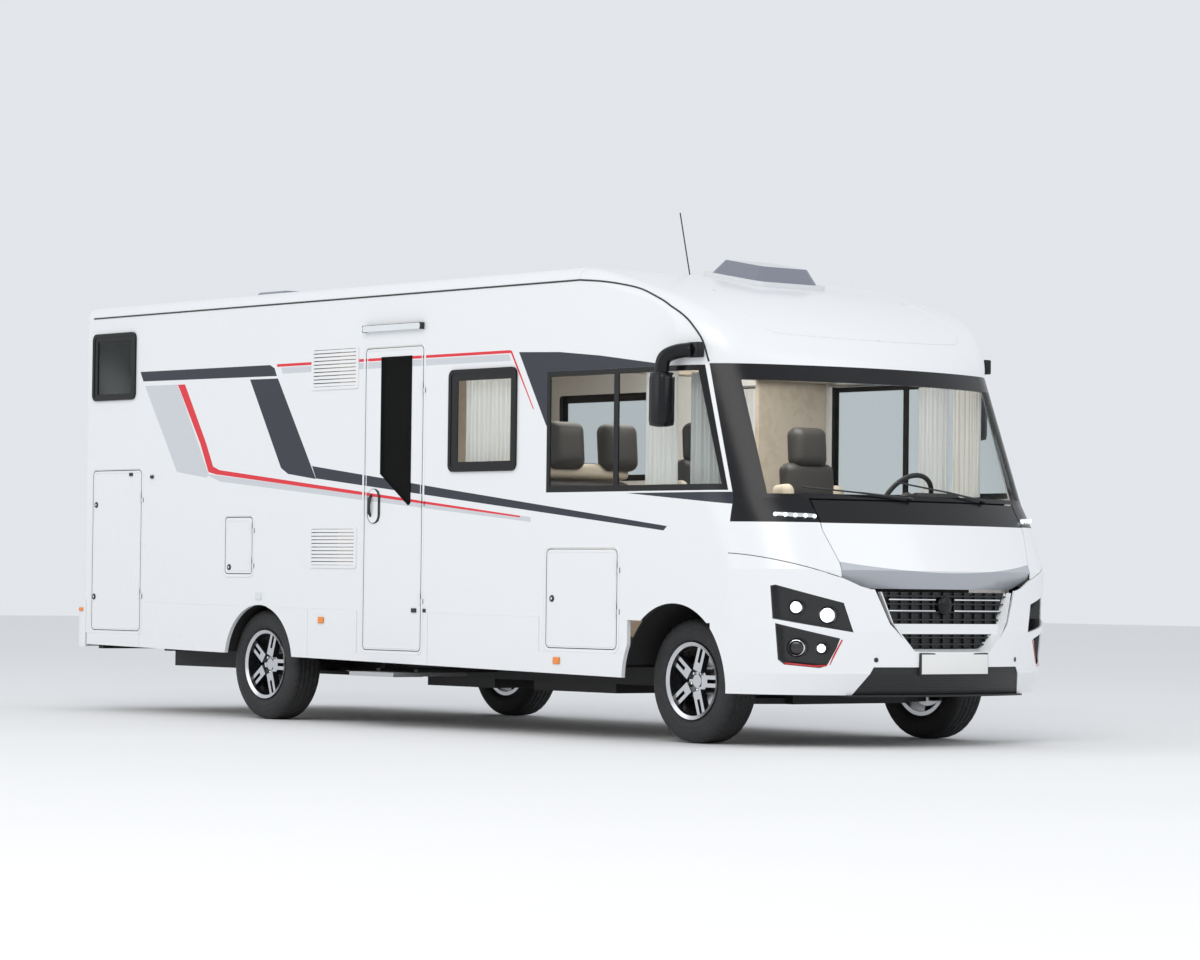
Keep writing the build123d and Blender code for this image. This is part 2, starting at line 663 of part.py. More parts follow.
def vent(sizes):
    x0, x1, z0, z1 = sizes
    ring = rounded(x0, x1, z0, z1, 14) - rounded(x0 + 22, x1 - 22, z0 + 18, z1 - 18, 6)
    frame = prism_y(ring, -HALF_WIDTH - 8, -HALF_WIDTH)
    slats = []
    count = 10
    pitch = (z1 - z0 - 36) / count
    for i in range(count):
        z = z0 + 18 + pitch * (i + 0.5)
        slat = polygon([(-HALF_WIDTH - 7, z - 9), (-HALF_WIDTH - 5, z - 9), (-HALF_WIDTH - 0.5, z + 9), (-HALF_WIDTH - 3, z + 9)])
        slats.append(prism_x(slat, x0 + 20, x1 - 20))
    return frame.fuse(*slats)


fridge_vents = pieces(*[vent(sizes) for sizes in VENTS])

# Skirts


def skirt(x0, x1, drops):
    """Side skirt between two places, cut around the doors and the wheel."""
    points = [(x, skirt_z(x)) for x in (x0, x1)] + [(x, ridge_z(x) - SEAT_GAP) for x in (x1, x0)]
    outer = prism_y(polygon(points), -HALF_WIDTH - SKIRT_PROUD, -HALF_WIDTH + SKIRT_THICK)
    for sizes, below in drops:
        low = sizes[2] - below - SEAT_GAP
        outer = outer - box(sizes[0] - 62 - SEAT_GAP, sizes[1] + 42 + SEAT_GAP, -1300, -1000, low, 800)
    return outer - ARCHES[0] - ARCHES[1]


ALL_DROPS = ((DOOR, 20), (REAR_LOCKER, 20), (FRONT_LOCKER, 20))
SKIRT_JOINTS = (-6180, -5520, -3562, -2291, -380)
right_skirts = [skirt(a + 1.5, b - 1.5, ALL_DROPS) for a, b in zip(SKIRT_JOINTS, SKIRT_JOINTS[1:])]
left_skirts = [skirt(a + 1.5, b - 1.5, ((REAR_LOCKER, 20),)) for a, b in zip(SKIRT_JOINTS, SKIRT_JOINTS[1:])]
skirts = pieces(*right_skirts, *[other_side(item) for item in left_skirts])

# Rear end

rear_top = box(REAR_END, WALL_END_X - 1, -HALF_WIDTH - 4, HALF_WIDTH + 4, SKIRT_REAR_Z - 20, RIDGE_REAR_Z - SEAT_GAP)
rear_edges = rear_top.edges().filter_by(Axis.Z).group_by(Axis.X)[0]
rear_top = fillet(rear_edges, 120)
rear_in = box(REAR_END + 14, WALL_END_X + 20, -HALF_WIDTH + 12, HALF_WIDTH - 12, SKIRT_REAR_Z - 40, RIDGE_REAR_Z - 16)
rear_in_edges = rear_in.edges().filter_by(Axis.Z).group_by(Axis.X)[0]
rear_in = fillet(rear_in_edges, 104)
rear_bumper = rear_top - rear_in

lamp_units = []
for side in (-1, 1):
    cluster = box(REAR_END - 0.3, REAR_END + 10, side * 780 - 150, side * 780 + 150, 560, 680)
    lamp_units.append(cluster)
rear_lamp_block = [
    box(REAR_WALL_X - 14, REAR_WALL_X, y - 150, y + 150, 790, 900) for y in (-880, 880)
]
high_lamp = box(REAR_WALL_X - 12, REAR_WALL_X, -220, 220, 2560, 2590)
led_bar = prism_y(rounded(-2969, -2374, 2464, 2502, 12), -HALF_WIDTH - 34, -HALF_WIDTH)
markers = [
    prism_y(rounded(x - 32, x + 32, z - 22, z + 22, 10), -HALF_WIDTH - depth, -HALF_WIDTH)
    for x, z, depth in ((-4115, 800, 9),)
]
exterior_lamps = pieces(*rear_lamp_block, high_lamp, led_bar, *[m for item in markers for m in both_sides(item)])

# Mirrors


def mirror_unit():
    """Hanging mirror on a bracket above the cab window, on the right side."""
    plan = SlotOverall(150, 86, rotation=90)
    housing = prism_z(Pos(-10, -1250) * plan, 1800, 2110)
    housing = fillet(housing.edges().group_by(Axis.Z)[0], 30)
    bracket = rod((-10, -1250, 2100), (-10, -1250, 2200), 34)
    arm = rod((-10, -1250, 2196), (150, -1152, 2238), 30)
    foot = box(120, 210, -1160, -1120, 2196, 2286) - cap_solid(0)
    unit = housing.fuse(bracket, arm)
    return (unit - cap_solid(0) - NOSE_OUT).fuse(foot)


mirrors = pieces(both_sides(mirror_unit()))

# Wipers


def screen_x(y, z, out):
    """X of the screen surface at a place, moved outward."""
    share = (z - GLASS_LOW_Z) / (BAND_TOP_Z - GLASS_LOW_Z)
    crown = 890 + (560 - 890) * share
    front_r = 2450
    return crown - front_r + sqrt(front_r**2 - y**2) + out


def wiper(y0, y1, z0, z1):
    """Arm and blade from a spindle to the blade's tip."""
    spindle = rod((screen_x(y0, z0, -10), y0, z0), (screen_x(y0, z0, 32), y0, z0), 9)
    spindle = spindle - nose_solid(-SEAT_GAP, GLASS_LOW_Z, BAND_TOP_Z)
    middle = (screen_x((y0 + y1) / 2, (z0 + z1) / 2, 26), (y0 + y1) / 2, (z0 + z1) / 2)
    arm = rod((screen_x(y0, z0, 26), y0, z0), middle, 6)
    arm = arm.fuse(rod(middle, (screen_x(y1, z1, 20), y1, z1), 5))
    return spindle.fuse(arm)


wipers = pieces(wiper(-150, -835, 1410, 1463), wiper(480, -200, 1410, 1500))


# Wheels


def tyre_solid(y_mid):
    """Plain tyre with rounded shoulders, turned about the axle."""
    half = TYRE_W / 2
    profile = polygon(
        [
            (RIM_R - 6, -half + 22),
            (RIM_R + 20, -half + 4),
            (TYRE_R - 62, -half),
            (TYRE_R - 22, -half + 12),
            (TYRE_R - 4, -half + 30),
            (TYRE_R, -half + 50),
            (TYRE_R, half - 50),
            (TYRE_R - 4, half - 30),
            (TYRE_R - 22, half - 12),
            (TYRE_R - 62, half),
            (RIM_R + 20, half - 4),
            (RIM_R - 6, half - 22),
        ]
    )
    turned = revolve(Plane(origin=(0, 0, 0), x_dir=(0, 0, 1), z_dir=(-1, 0, 0)) * profile, Axis.Y)
    return Pos(0, y_mid, HUB_Z) * turned


HUB_BORE = 32


def rim_solid(y_mid, side):
    """Barrel, lip and five double spokes; side is -1 on the right."""
    half = TYRE_W / 2
    barrel_profile = polygon(
        [
            (RIM_R - 6.3, -half + 21.5),
            (RIM_R, -half + 14),
            (RIM_R - 4, -half + 8),
            (RIM_R - 26, -half + 18),
            (RIM_R - 30, half - 22),
            (RIM_R - 6.3, half - 22),
        ]
    )
    place = Plane(origin=(0, 0, 0), x_dir=(0, 0, 1), z_dir=(-1, 0, 0))
    barrel = revolve(place * barrel_profile, Axis.Y)
    hub = rod((0, -52, 0), (0, 20, 0), 76)
    disc = rod((0, 20, 0), (0, 34, 0), 160)
    spokes = []
    for i in range(5):
        blade = box(-34, 34, -78, -50, 60, RIM_R - 20)
        blade = blade + box(-26, 26, -62, -30, 60, RIM_R - 24)
        slot = box(-11, 11, -90, -20, 110, RIM_R - 30)
        spokes.append(Rotation(0, 72 * i + 90, 0) * (blade - slot))
    wheel = barrel.fuse(hub, disc, *spokes) - rod((0, -60, 0), (0, 40, 0), HUB_BORE)
    cap_disc = rod((0, -60, 0), (0, -52, 0), 36)
    wheel = wheel.fuse(cap_disc)
    if side > 0:
        wheel = Rotation(0, 0, 180) * wheel
    return Pos(0, y_mid, HUB_Z) * wheel


WHEELS = {
    "front_right": (0, -TRACK_FRONT / 2, -1),
    "front_left": (0, TRACK_FRONT / 2, 1),
    "rear_right": (-WHEELBASE, -TRACK_REAR / 2, -1),
    "rear_left": (-WHEELBASE, TRACK_REAR / 2, 1),
}


def knuckle():
    """Right steering knuckle: upright post, stub axle and steering arm."""
    post = rod((0, -KINGPIN_Y, 260), (0, -KINGPIN_Y, 470), 45)
    stub = rod((0, -KINGPIN_Y, HUB_Z), (0, -TRACK_FRONT / 2 - 45, HUB_Z), HUB_BORE - 0.5)
    arm = box(-150, 0, -KINGPIN_Y - 14, -KINGPIN_Y + 14, 270, 295)
    return post.fuse(stub, arm)


knuckle_right = knuckle()
knuckle_left = other_side(knuckle_right)


TOWER_Y = -RAIL_Y - RAIL_W / 2 - 20


def suspension_side():
    """Arms, spring and drive shaft of the right front wheel."""
    arm = polygon([(-60, -KINGPIN_Y), (60, -KINGPIN_Y), (190, -RAIL_Y), (-260, -RAIL_Y)])
    lower = prism_z(arm, 225, 259.7) - rod((0, -KINGPIN_Y, 200), (0, -KINGPIN_Y, 300), 44)
    lower = lower.fuse(rod((0, -KINGPIN_Y, 225), (0, -KINGPIN_Y, 259.7), 44))
    upper_plan = polygon([(-30, -KINGPIN_Y), (40, -KINGPIN_Y), (80, TOWER_Y), (-10, TOWER_Y)])
    upper = prism_z(upper_plan, 470.3, 492).fuse(rod((0, -KINGPIN_Y, 470.3), (0, -KINGPIN_Y, 492), 44))
    spring_x, spring_y = SPRING_PLACE
    spring = rod((spring_x, spring_y, 250), (spring_x, spring_y, 855), 28)
    spring = spring.fuse(rod((spring_x, spring_y, 520), (spring_x, spring_y, 850), 64))
    shaft = rod((0, -RAIL_Y + 100, HUB_Z), (0, -KINGPIN_Y + 50, HUB_Z), 22)
    return [lower.fuse(spring), upper, shaft]


SPRING_PLACE = (-95, -620)
subframe = box(-300, 250, -RAIL_Y - 18, RAIL_Y + 18, 225, 290)
tower = box(-175, 100, -700, TOWER_Y + 20, 850, 874)
tower_post = box(-120, 100, TOWER_Y - 20, TOWER_Y + 20, 445, 874)
towers = both_sides(tower.fuse(tower_post))
sides = [suspension_side()]
lowers = both_sides(sides[0][0])
uppers = both_sides(sides[0][1])
shafts = both_sides(sides[0][2])
final_drive = rod((0, -330, HUB_Z), (0, 330, HUB_Z), 105)
front_suspension = pieces(subframe.fuse(*lowers, *towers, *uppers, final_drive, *shafts))

rear_beam = rod((-WHEELBASE, -TRACK_REAR / 2 + 60, HUB_Z), (-WHEELBASE, TRACK_REAR / 2 - 60, HUB_Z), 45)
rear_parts = [rear_beam]
for side in (-1, 1):
    y_in, y_out = side * (TRACK_REAR / 2 - 70), side * (TRACK_REAR / 2 + 45)
    rear_parts.append(rod((-WHEELBASE, y_in, HUB_Z), (-WHEELBASE, y_out, HUB_Z), HUB_BORE - 0.5))
    spring_y = side * 560
    leaf = box(-WHEELBASE - 640, -WHEELBASE + 640, spring_y - 35, spring_y + 35, HUB_Z - 66, HUB_Z - 42)
    rear_parts.append(leaf)
    for x in (-WHEELBASE - 620, -WHEELBASE + 620):
        rear_parts.append(box(x - 20, x + 20, spring_y - 35, spring_y + 35, HUB_Z - 50, FLOOR_TOP - FLOOR_THICK - SEAT_GAP))
rear_axle = pieces(rear_parts[0].fuse(*rear_parts[1:]))

# Frame and floor

rails = [box(FRAME_REAR_X, -300, y - RAIL_W / 2, y + RAIL_W / 2, RAIL_LOW, RAIL_TOP) for y in (-RAIL_Y, RAIL_Y)]
rail_cuts = box(-WHEELBASE - 60, -WHEELBASE + 60, -700, 700, HUB_Z - 70, HUB_Z + 60)
nose_rails = [
    box(-360, 900, y - RAIL_W / 2, y + RAIL_W / 2, NOSE_RAIL_LOW, NOSE_RAIL_LOW + 110).fuse(
        box(-360, -300, y - RAIL_W / 2, y + RAIL_W / 2, RAIL_LOW, NOSE_RAIL_LOW + 110)
    )
    for y in (-RAIL_Y, RAIL_Y)
]
crosses = [
    box(x - 30, x + 30, -1090, 1090, RAIL_TOP, FLOOR_TOP - FLOOR_THICK)
    for x in (-6120, -5300, -3450, -2300, -1250, -620)
]
front_beam = box(890 + SEAT_GAP, 935, -600, 600, 420, 550)
STEP_ARMS = (-2900, -2510)
step_guides = [box(x - 20, x + 20, -1090, -RAIL_Y, 342 + SEAT_GAP, 362) for x in STEP_ARMS]
tow_plate = box(FRAME_REAR_X - 12, FRAME_REAR_X + 20, -65, 65, TOW_Z - 50, TOW_Z + 50)
tow_holes = [
    rod((FRAME_REAR_X - 20, y, z), (FRAME_REAR_X + 80, y, z), TOW_HOLE_R)
    for y in (-TOW_SPACING[0] / 2, TOW_SPACING[0] / 2)
    for z in (TOW_Z - TOW_SPACING[1] / 2, TOW_Z + TOW_SPACING[1] / 2)
]
chassis = rails[0].fuse(rails[1], *nose_rails, *crosses, front_beam, *step_guides, tow_plate)
for hole in tow_holes:
    chassis = chassis - hole
chassis_frame = pieces(chassis - rail_cuts)

FLOOR_FRONT_X = 380
INNER = HALF_WIDTH - WALL
floor_slab = box(REAR_WALL_X + WALL, FLOOR_FRONT_X, -INNER, INNER, FLOOR_TOP - FLOOR_THICK, FLOOR_TOP)
wells = [
    box(ARCH_FRONT_X - 465, ARCH_FRONT_X + 465, -1200, -580 + SEAT_GAP, 300, 900),
    box(ARCH_REAR_X - 425, ARCH_REAR_X + 425, -1200, -790, 300, 900),
]
tower_hole = box(-185, 110, -700, TOWER_Y + 25, 300, 900)
step_well = box(DOOR[0] + 10, DOOR[1] - 10, -1200, -800, 300, 700)
for well in [*wells, tower_hole]:
    floor_slab = floor_slab - well - other_side(well)
floor_slab = floor_slab - step_well
tray = box(DOOR[0] + 10, DOOR[1] - 10, -INNER + 4, -800, 474, 482)
riser = box(DOOR[0] + 10, DOOR[1] - 10, -808, -800, 474, FLOOR_TOP)
floor = pieces(floor_slab.fuse(tray, riser))


def liner(x, radius, y_in, y_out):
    """Wheel house: half barrel with an inner side, open below."""
    outer = rod((x, -y_out, HUB_Z), (x, -y_in, HUB_Z), radius + 14)
    inner = rod((x, -y_out - 5, HUB_Z), (x, -y_in - 5, HUB_Z), radius + 8)
    shell_part = (outer - inner) & box(x - 600, x + 600, -1300, 0, 440, 900)
    return shell_part


front_liner = liner(ARCH_FRONT_X, ARCH_FRONT_R, 580, INNER - SEAT_GAP)
front_liner = front_liner - rod((*SPRING_PLACE, 500), (*SPRING_PLACE, 900), 72)
front_liner = front_liner - box(-175, 105, -600, -570, 400, 800)
rear_liner = liner(ARCH_REAR_X, ARCH_REAR_R, 800, INNER - SEAT_GAP)
wheel_liners = pieces(both_sides(front_liner), both_sides(rear_liner))

engine_block = box(400, 890, -330, 330, 450, 990)
RAIL_IN = RAIL_Y - RAIL_W / 2 - SEAT_GAP
tank = box(-2200, -1400, -RAIL_IN, RAIL_IN, 240, RAIL_TOP - 1)
waste_tank = box(-3300, -2600, -RAIL_IN, 100, 240, RAIL_TOP - 1)
tanks = pieces(tank, waste_tank)

# Interior that shows through the glass


def seat(x, y):
    """Cab seat with a headrest on a pedestal."""
    foot = box(x - 180, x + 120, y - 150, y + 150, FLOOR_TOP + SEAT_GAP, 900)
    cushion = box(x - 260, x + 270, y - 250, y + 250, 900, 1050)
    cushion = fillet(cushion.edges().filter_by(Axis.Z), 60)
    back = box(x - 330, x - 190, y - 250, y + 250, 960, 1640)
    back = fillet(back.edges().filter_by(Axis.X), 90)
    rest = box(x - 310, x - 210, y - 130, y + 130, 1630, 1840)
    rest = fillet(rest.edges().filter_by(Axis.X), 50)
    return foot.fuse(cushion, back, rest)


seats = pieces(seat(-330, -420), seat(-330, 420))
dash_face = polygon([(330, 1000), (330, 1330), (420, 1372), (640, 1372), (700, 1300), (700, 1000)])
dash = prism_y(dash_face, -HALF_WIDTH, HALF_WIDTH) & nose_solid(WALL + SEAT_GAP, 300, BAND_TOP_Z)
binnacle = prism_y(polygon([(360, 1350), (380, 1440), (470, 1460), (560, 1370)]), 300, 640)
column = rod((400, 470, 1300), (230, 470, 1400), 32)
wheel_tilt = 30
steer_ring = Plane(origin=(215, 470, 1408), z_dir=(-0.86, 0, 0.5)) * Torus(185, 15)
steer_hub = Plane(origin=(215, 470, 1408), z_dir=(-0.86, 0, 0.5)) * Cylinder(60, 40)
steer_bar = Plane(origin=(215, 470, 1408), x_dir=(0, 1, 0), z_dir=(-0.86, 0, 0.5)) * Box(370, 40, 16)
steering = steer_ring.fuse(steer_hub, steer_bar, column)
beam = box(690, 800, -230, 230, 1180, 1240)
brackets = []
for y in (-ARM_Y, ARM_Y):
    bracket_face = polygon([(720, 1235), (800, 1235), (arm_x + 3, arm_z - 7), (arm_x - 7, arm_z + 5)])
    bracket = prism_y(bracket_face, y + 9, y + 17)
    eye = rod((arm_x, y + 9, arm_z), (arm_x, y + 17, arm_z), 7)
    pin = rod((arm_x, y - 8, arm_z), (arm_x, y + 12, arm_z), HINGE_PIN_R)
    brackets.append(bracket.fuse(eye, pin))
dashboard = pieces(dash.fuse(binnacle, steering, beam, *brackets))

bench = box(-1720, -1240, -1120, -300, FLOOR_TOP, 1060)
bench_back = box(-1720, -1560, -1120, -300, 1060, 1640)
head = box(-1700, -1600, -800, -540, 1640, 1860)
sofa = box(-2250, -1300, 420, 1120, FLOOR_TOP, 1060)
wardrobe = box(-4000, -3300, -1128, -500, FLOOR_TOP, 2680)
kitchen = box(-4000, -2700, 500, 1128, FLOOR_TOP, 1500)
bulkhead = box(-4100, -4060, -1128, 1128, FLOOR_TOP, 2730) & coach_solid(WALL + 2)
wheel_house = rod((ARCH_REAR_X, -1200, HUB_Z), (ARCH_REAR_X, -790, HUB_Z), ARCH_REAR_R + 18)
rear_fittings = [item - wheel_house - other_side(wheel_house) for item in (wardrobe, kitchen, bulkhead)]
furniture = pieces(bench.fuse(bench_back, head), sofa, *rear_fittings)

step_board = box(-2935, -2475, -1290, -1060, 316, 342)
step_arms = [box(x - 12, x + 12, -1280, -700, 318, 342) for x in STEP_ARMS]
entry_step = pieces(step_board.fuse(*step_arms))

# Write the pieces

NODES = {
    "side_wall_right": side_wall_right,
    "side_wall_left": side_wall_left,
    "rear_wall": rear_wall,
    "roof_panel": roof_panel,
    "front_cap": front_cap,
    "screen_surround": screen_surround,
    "windscreen": windscreen,
    "cowl_panels": cowl_panels,
    "bonnet": bonnet,
    "bumper_front": bumper_front,
    "headlamps": headlamps,
    "grilles": grilles,
    "windows": windows,
    "entry_door": entry_door,
    "door_window": door_window,
    "locker_rear_right": LOCKER_R,
    "locker_rear_left": other_side(LOCKER_R),
    "locker_front_right": LOCKER_F,
    "service_hatch": HATCH_LID,
    "fridge_vents": fridge_vents,
    "skirts": skirts,
    "rear_bumper": rear_bumper,
    "exterior_lamps": exterior_lamps,
    "roof_frames": roof_frames,
    "skylight_lid": skylight_lid,
    "roof_vent_lid": roof_vent_lid,
    "mirrors": mirrors,
    "wipers": wipers,
    "knuckle_right": knuckle_right,
    "knuckle_left": knuckle_left,
    "front_suspension": front_suspension,
    "rear_axle": rear_axle,
    "chassis_frame": chassis_frame,
    "floor": floor,
    "wheel_liners": wheel_liners,
    "engine": engine_block,
    "tanks": tanks,
    "seats": seats,
    "dashboard": dashboard,
    "furniture": furniture,
    "entry_step": entry_step,
}
for name, shape in NODES.items():
    write(name, shape)
for name, (x, y, side) in WHEELS.items():
    write(f"tyre_{name}", Pos(x, 0, 0) * tyre_solid(y))
    write(f"rim_{name}", Pos(x, 0, 0) * rim_solid(y, side))
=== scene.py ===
import json
import math

import bmesh
import bpy
from mathutils import Matrix, Vector
from mathutils.bvhtree import BVHTree
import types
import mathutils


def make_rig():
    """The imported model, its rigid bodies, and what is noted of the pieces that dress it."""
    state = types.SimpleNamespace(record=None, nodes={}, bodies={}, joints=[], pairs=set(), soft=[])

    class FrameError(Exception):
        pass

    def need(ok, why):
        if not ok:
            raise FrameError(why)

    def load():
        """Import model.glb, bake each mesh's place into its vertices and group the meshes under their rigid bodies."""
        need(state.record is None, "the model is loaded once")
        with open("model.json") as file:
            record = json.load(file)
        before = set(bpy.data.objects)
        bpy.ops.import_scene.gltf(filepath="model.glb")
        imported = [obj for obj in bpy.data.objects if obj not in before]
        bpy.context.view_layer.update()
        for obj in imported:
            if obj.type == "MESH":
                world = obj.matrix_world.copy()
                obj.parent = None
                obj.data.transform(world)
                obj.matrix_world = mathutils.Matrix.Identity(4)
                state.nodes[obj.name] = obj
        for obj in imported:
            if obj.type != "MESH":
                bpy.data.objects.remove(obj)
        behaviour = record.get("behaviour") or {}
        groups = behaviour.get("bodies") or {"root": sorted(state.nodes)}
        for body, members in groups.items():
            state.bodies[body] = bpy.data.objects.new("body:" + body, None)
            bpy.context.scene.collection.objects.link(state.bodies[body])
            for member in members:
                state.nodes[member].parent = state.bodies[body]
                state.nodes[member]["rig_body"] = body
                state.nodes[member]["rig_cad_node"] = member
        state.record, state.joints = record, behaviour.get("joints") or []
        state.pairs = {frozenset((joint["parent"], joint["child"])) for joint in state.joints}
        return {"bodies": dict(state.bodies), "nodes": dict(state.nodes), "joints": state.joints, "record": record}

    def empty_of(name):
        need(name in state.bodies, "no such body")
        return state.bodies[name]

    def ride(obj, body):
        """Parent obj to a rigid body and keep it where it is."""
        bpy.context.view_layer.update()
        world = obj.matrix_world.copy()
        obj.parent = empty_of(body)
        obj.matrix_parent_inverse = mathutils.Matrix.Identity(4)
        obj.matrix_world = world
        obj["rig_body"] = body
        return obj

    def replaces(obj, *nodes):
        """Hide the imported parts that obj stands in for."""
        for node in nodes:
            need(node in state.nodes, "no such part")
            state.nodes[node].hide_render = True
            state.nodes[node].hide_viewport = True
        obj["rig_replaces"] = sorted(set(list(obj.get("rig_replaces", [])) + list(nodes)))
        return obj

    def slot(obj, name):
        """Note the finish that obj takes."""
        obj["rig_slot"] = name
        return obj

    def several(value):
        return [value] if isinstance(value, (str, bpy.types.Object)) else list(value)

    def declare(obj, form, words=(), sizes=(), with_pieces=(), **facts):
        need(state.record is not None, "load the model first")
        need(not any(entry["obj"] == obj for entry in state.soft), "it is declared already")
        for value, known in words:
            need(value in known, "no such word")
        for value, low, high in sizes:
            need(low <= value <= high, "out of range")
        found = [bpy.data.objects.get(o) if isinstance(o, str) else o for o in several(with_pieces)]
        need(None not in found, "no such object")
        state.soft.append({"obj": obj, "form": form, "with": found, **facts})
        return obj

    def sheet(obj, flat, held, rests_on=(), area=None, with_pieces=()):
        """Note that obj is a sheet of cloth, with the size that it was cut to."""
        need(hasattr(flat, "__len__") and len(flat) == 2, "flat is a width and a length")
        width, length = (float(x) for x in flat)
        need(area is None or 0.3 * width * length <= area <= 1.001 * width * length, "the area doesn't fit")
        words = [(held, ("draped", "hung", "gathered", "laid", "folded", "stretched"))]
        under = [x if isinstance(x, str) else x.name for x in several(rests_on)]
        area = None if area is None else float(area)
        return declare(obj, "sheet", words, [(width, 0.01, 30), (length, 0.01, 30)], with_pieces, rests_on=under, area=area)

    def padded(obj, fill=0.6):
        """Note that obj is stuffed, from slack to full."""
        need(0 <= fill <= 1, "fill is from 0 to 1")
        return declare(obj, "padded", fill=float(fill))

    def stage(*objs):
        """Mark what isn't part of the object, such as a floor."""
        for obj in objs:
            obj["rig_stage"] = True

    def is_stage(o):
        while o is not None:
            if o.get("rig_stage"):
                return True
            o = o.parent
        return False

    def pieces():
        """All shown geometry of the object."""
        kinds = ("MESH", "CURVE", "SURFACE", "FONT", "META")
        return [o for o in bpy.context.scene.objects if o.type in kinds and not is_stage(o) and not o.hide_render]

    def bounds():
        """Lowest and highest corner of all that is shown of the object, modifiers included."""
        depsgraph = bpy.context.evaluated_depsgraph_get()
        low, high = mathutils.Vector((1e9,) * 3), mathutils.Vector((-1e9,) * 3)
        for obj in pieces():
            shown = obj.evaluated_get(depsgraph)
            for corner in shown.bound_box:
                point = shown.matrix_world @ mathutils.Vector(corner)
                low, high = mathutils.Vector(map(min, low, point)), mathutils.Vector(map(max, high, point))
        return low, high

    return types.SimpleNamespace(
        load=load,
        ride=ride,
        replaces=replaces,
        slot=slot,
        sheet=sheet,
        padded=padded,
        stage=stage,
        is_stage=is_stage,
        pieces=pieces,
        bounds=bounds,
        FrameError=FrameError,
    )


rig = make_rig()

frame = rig.load()
cad_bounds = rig.bounds()
NODES = frame["nodes"]
# The front axle's X in the row frame in metres, and the side walls' outer face in millimetres
FRONT_AXLE = 2.620
WALL_Y = 1165


def at(x, y, z):
    """Point from millimetres, X counted from the front axle."""
    return Vector((x / 1000 + FRONT_AXLE, y / 1000, z / 1000))


# Node helpers


class Shader:
    """Small helper that builds a material's nodes."""

    def __init__(self, name):
        self.mat = bpy.data.materials.new(name)
        self.mat.use_nodes = True
        self.tree = self.mat.node_tree
        self.tree.nodes.clear()
        self.out = self.tree.nodes.new("ShaderNodeOutputMaterial")
        self.coord = self.tree.nodes.new("ShaderNodeTexCoord").outputs["Object"]

    def add(self, kind, **settings):
        node = self.tree.nodes.new("ShaderNode" + kind)
        for key, value in settings.items():
            setattr(node, key, value)
        return node

    def link(self, source, target):
        self.tree.links.new(source, target)

    def put(self, target, value):
        if isinstance(value, bpy.types.NodeSocket):
            self.link(value, target)
        else:
            target.default_value = value

    def math(self, operation, a, b=0.0, c=0.0):
        node = self.add("Math", operation=operation)
        self.put(node.inputs[0], a)
        self.put(node.inputs[1], b)
        self.put(node.inputs[2], c)
        return node.outputs[0]

    def mix(self, share, a, b):
        node = self.add("Mix", data_type="RGBA")
        self.put(node.inputs[0], share)
        self.put(node.inputs[6], a)
        self.put(node.inputs[7], b)
        return node.outputs[2]

    def blend(self, share, one, two):
        """Mix of two surfaces, with the share of the second."""
        node = self.add("MixShader")
        self.put(node.inputs[0], share)
        self.link(one, node.inputs[1])
        self.link(two, node.inputs[2])
        return node.outputs[0]

    def noise(self, scale, detail=3.0, rough=0.5):
        node = self.add("TexNoise")
        self.link(self.coord, node.inputs["Vector"])
        node.inputs["Scale"].default_value = scale
        node.inputs["Detail"].default_value = detail
        node.inputs["Roughness"].default_value = rough
        return node.outputs["Fac"]

    def spread(self, value, low, high):
        node = self.add("MapRange")
        self.put(node.inputs["Value"], value)
        node.inputs["To Min"].default_value = low
        node.inputs["To Max"].default_value = high
        return node.outputs["Result"]

    def bump(self, height, strength, distance):
        node = self.add("Bump")
        node.inputs["Strength"].default_value = strength
        node.inputs["Distance"].default_value = distance
        self.put(node.inputs["Height"], height)
        return node.outputs["Normal"]

    def axes(self):
        node = self.add("SeparateXYZ")
        self.link(self.coord, node.inputs[0])
        return node.outputs

    def local_normal(self):
        """The face's direction in the row frame of its own body."""
        turn = self.add("VectorTransform")
        turn.vector_type = "NORMAL"
        turn.convert_from = "WORLD"
        turn.convert_to = "OBJECT"
        self.link(self.add("NewGeometry").outputs["Normal"], turn.inputs[0])
        split = self.add("SeparateXYZ")
        self.link(turn.outputs[0], split.inputs[0])
        return split.outputs

    def principled(self, color, roughness, metallic=0.0, normal=None, coat=0.0, **more):
        node = self.add("BsdfPrincipled")
        self.put(node.inputs["Base Color"], color)
        self.put(node.inputs["Roughness"], roughness)
        self.put(node.inputs["Metallic"], metallic)
        node.inputs["Coat Weight"].default_value = coat
        node.inputs["Coat Roughness"].default_value = 0.06
        if normal is not None:
            self.link(normal, node.inputs["Normal"])
        for key, value in more.items():
            node.inputs[key.replace("_", " ")].default_value = value
        return node.outputs[0]

    def gloss_black(self):
        """Surface of the black edges of glass and bonnet."""
        rough = self.spread(self.noise(8.0), 0.2, 0.3)
        return self.principled(BLACK, rough, 0.0, None, 0.0, Specular_IOR_Level=0.3)

    def finish(self, surface):
        self.link(surface, self.out.inputs["Surface"])
        return self.mat


def rgb(r, g, b):
    return (r, g, b, 1.0)


WHITE = rgb(0.80, 0.81, 0.82)
NAVY = rgb(0.012, 0.015, 0.028)
GREY = rgb(0.58, 0.60, 0.63)
RED = rgb(0.72, 0.012, 0.025)
BLACK = rgb(0.008, 0.008, 0.009)


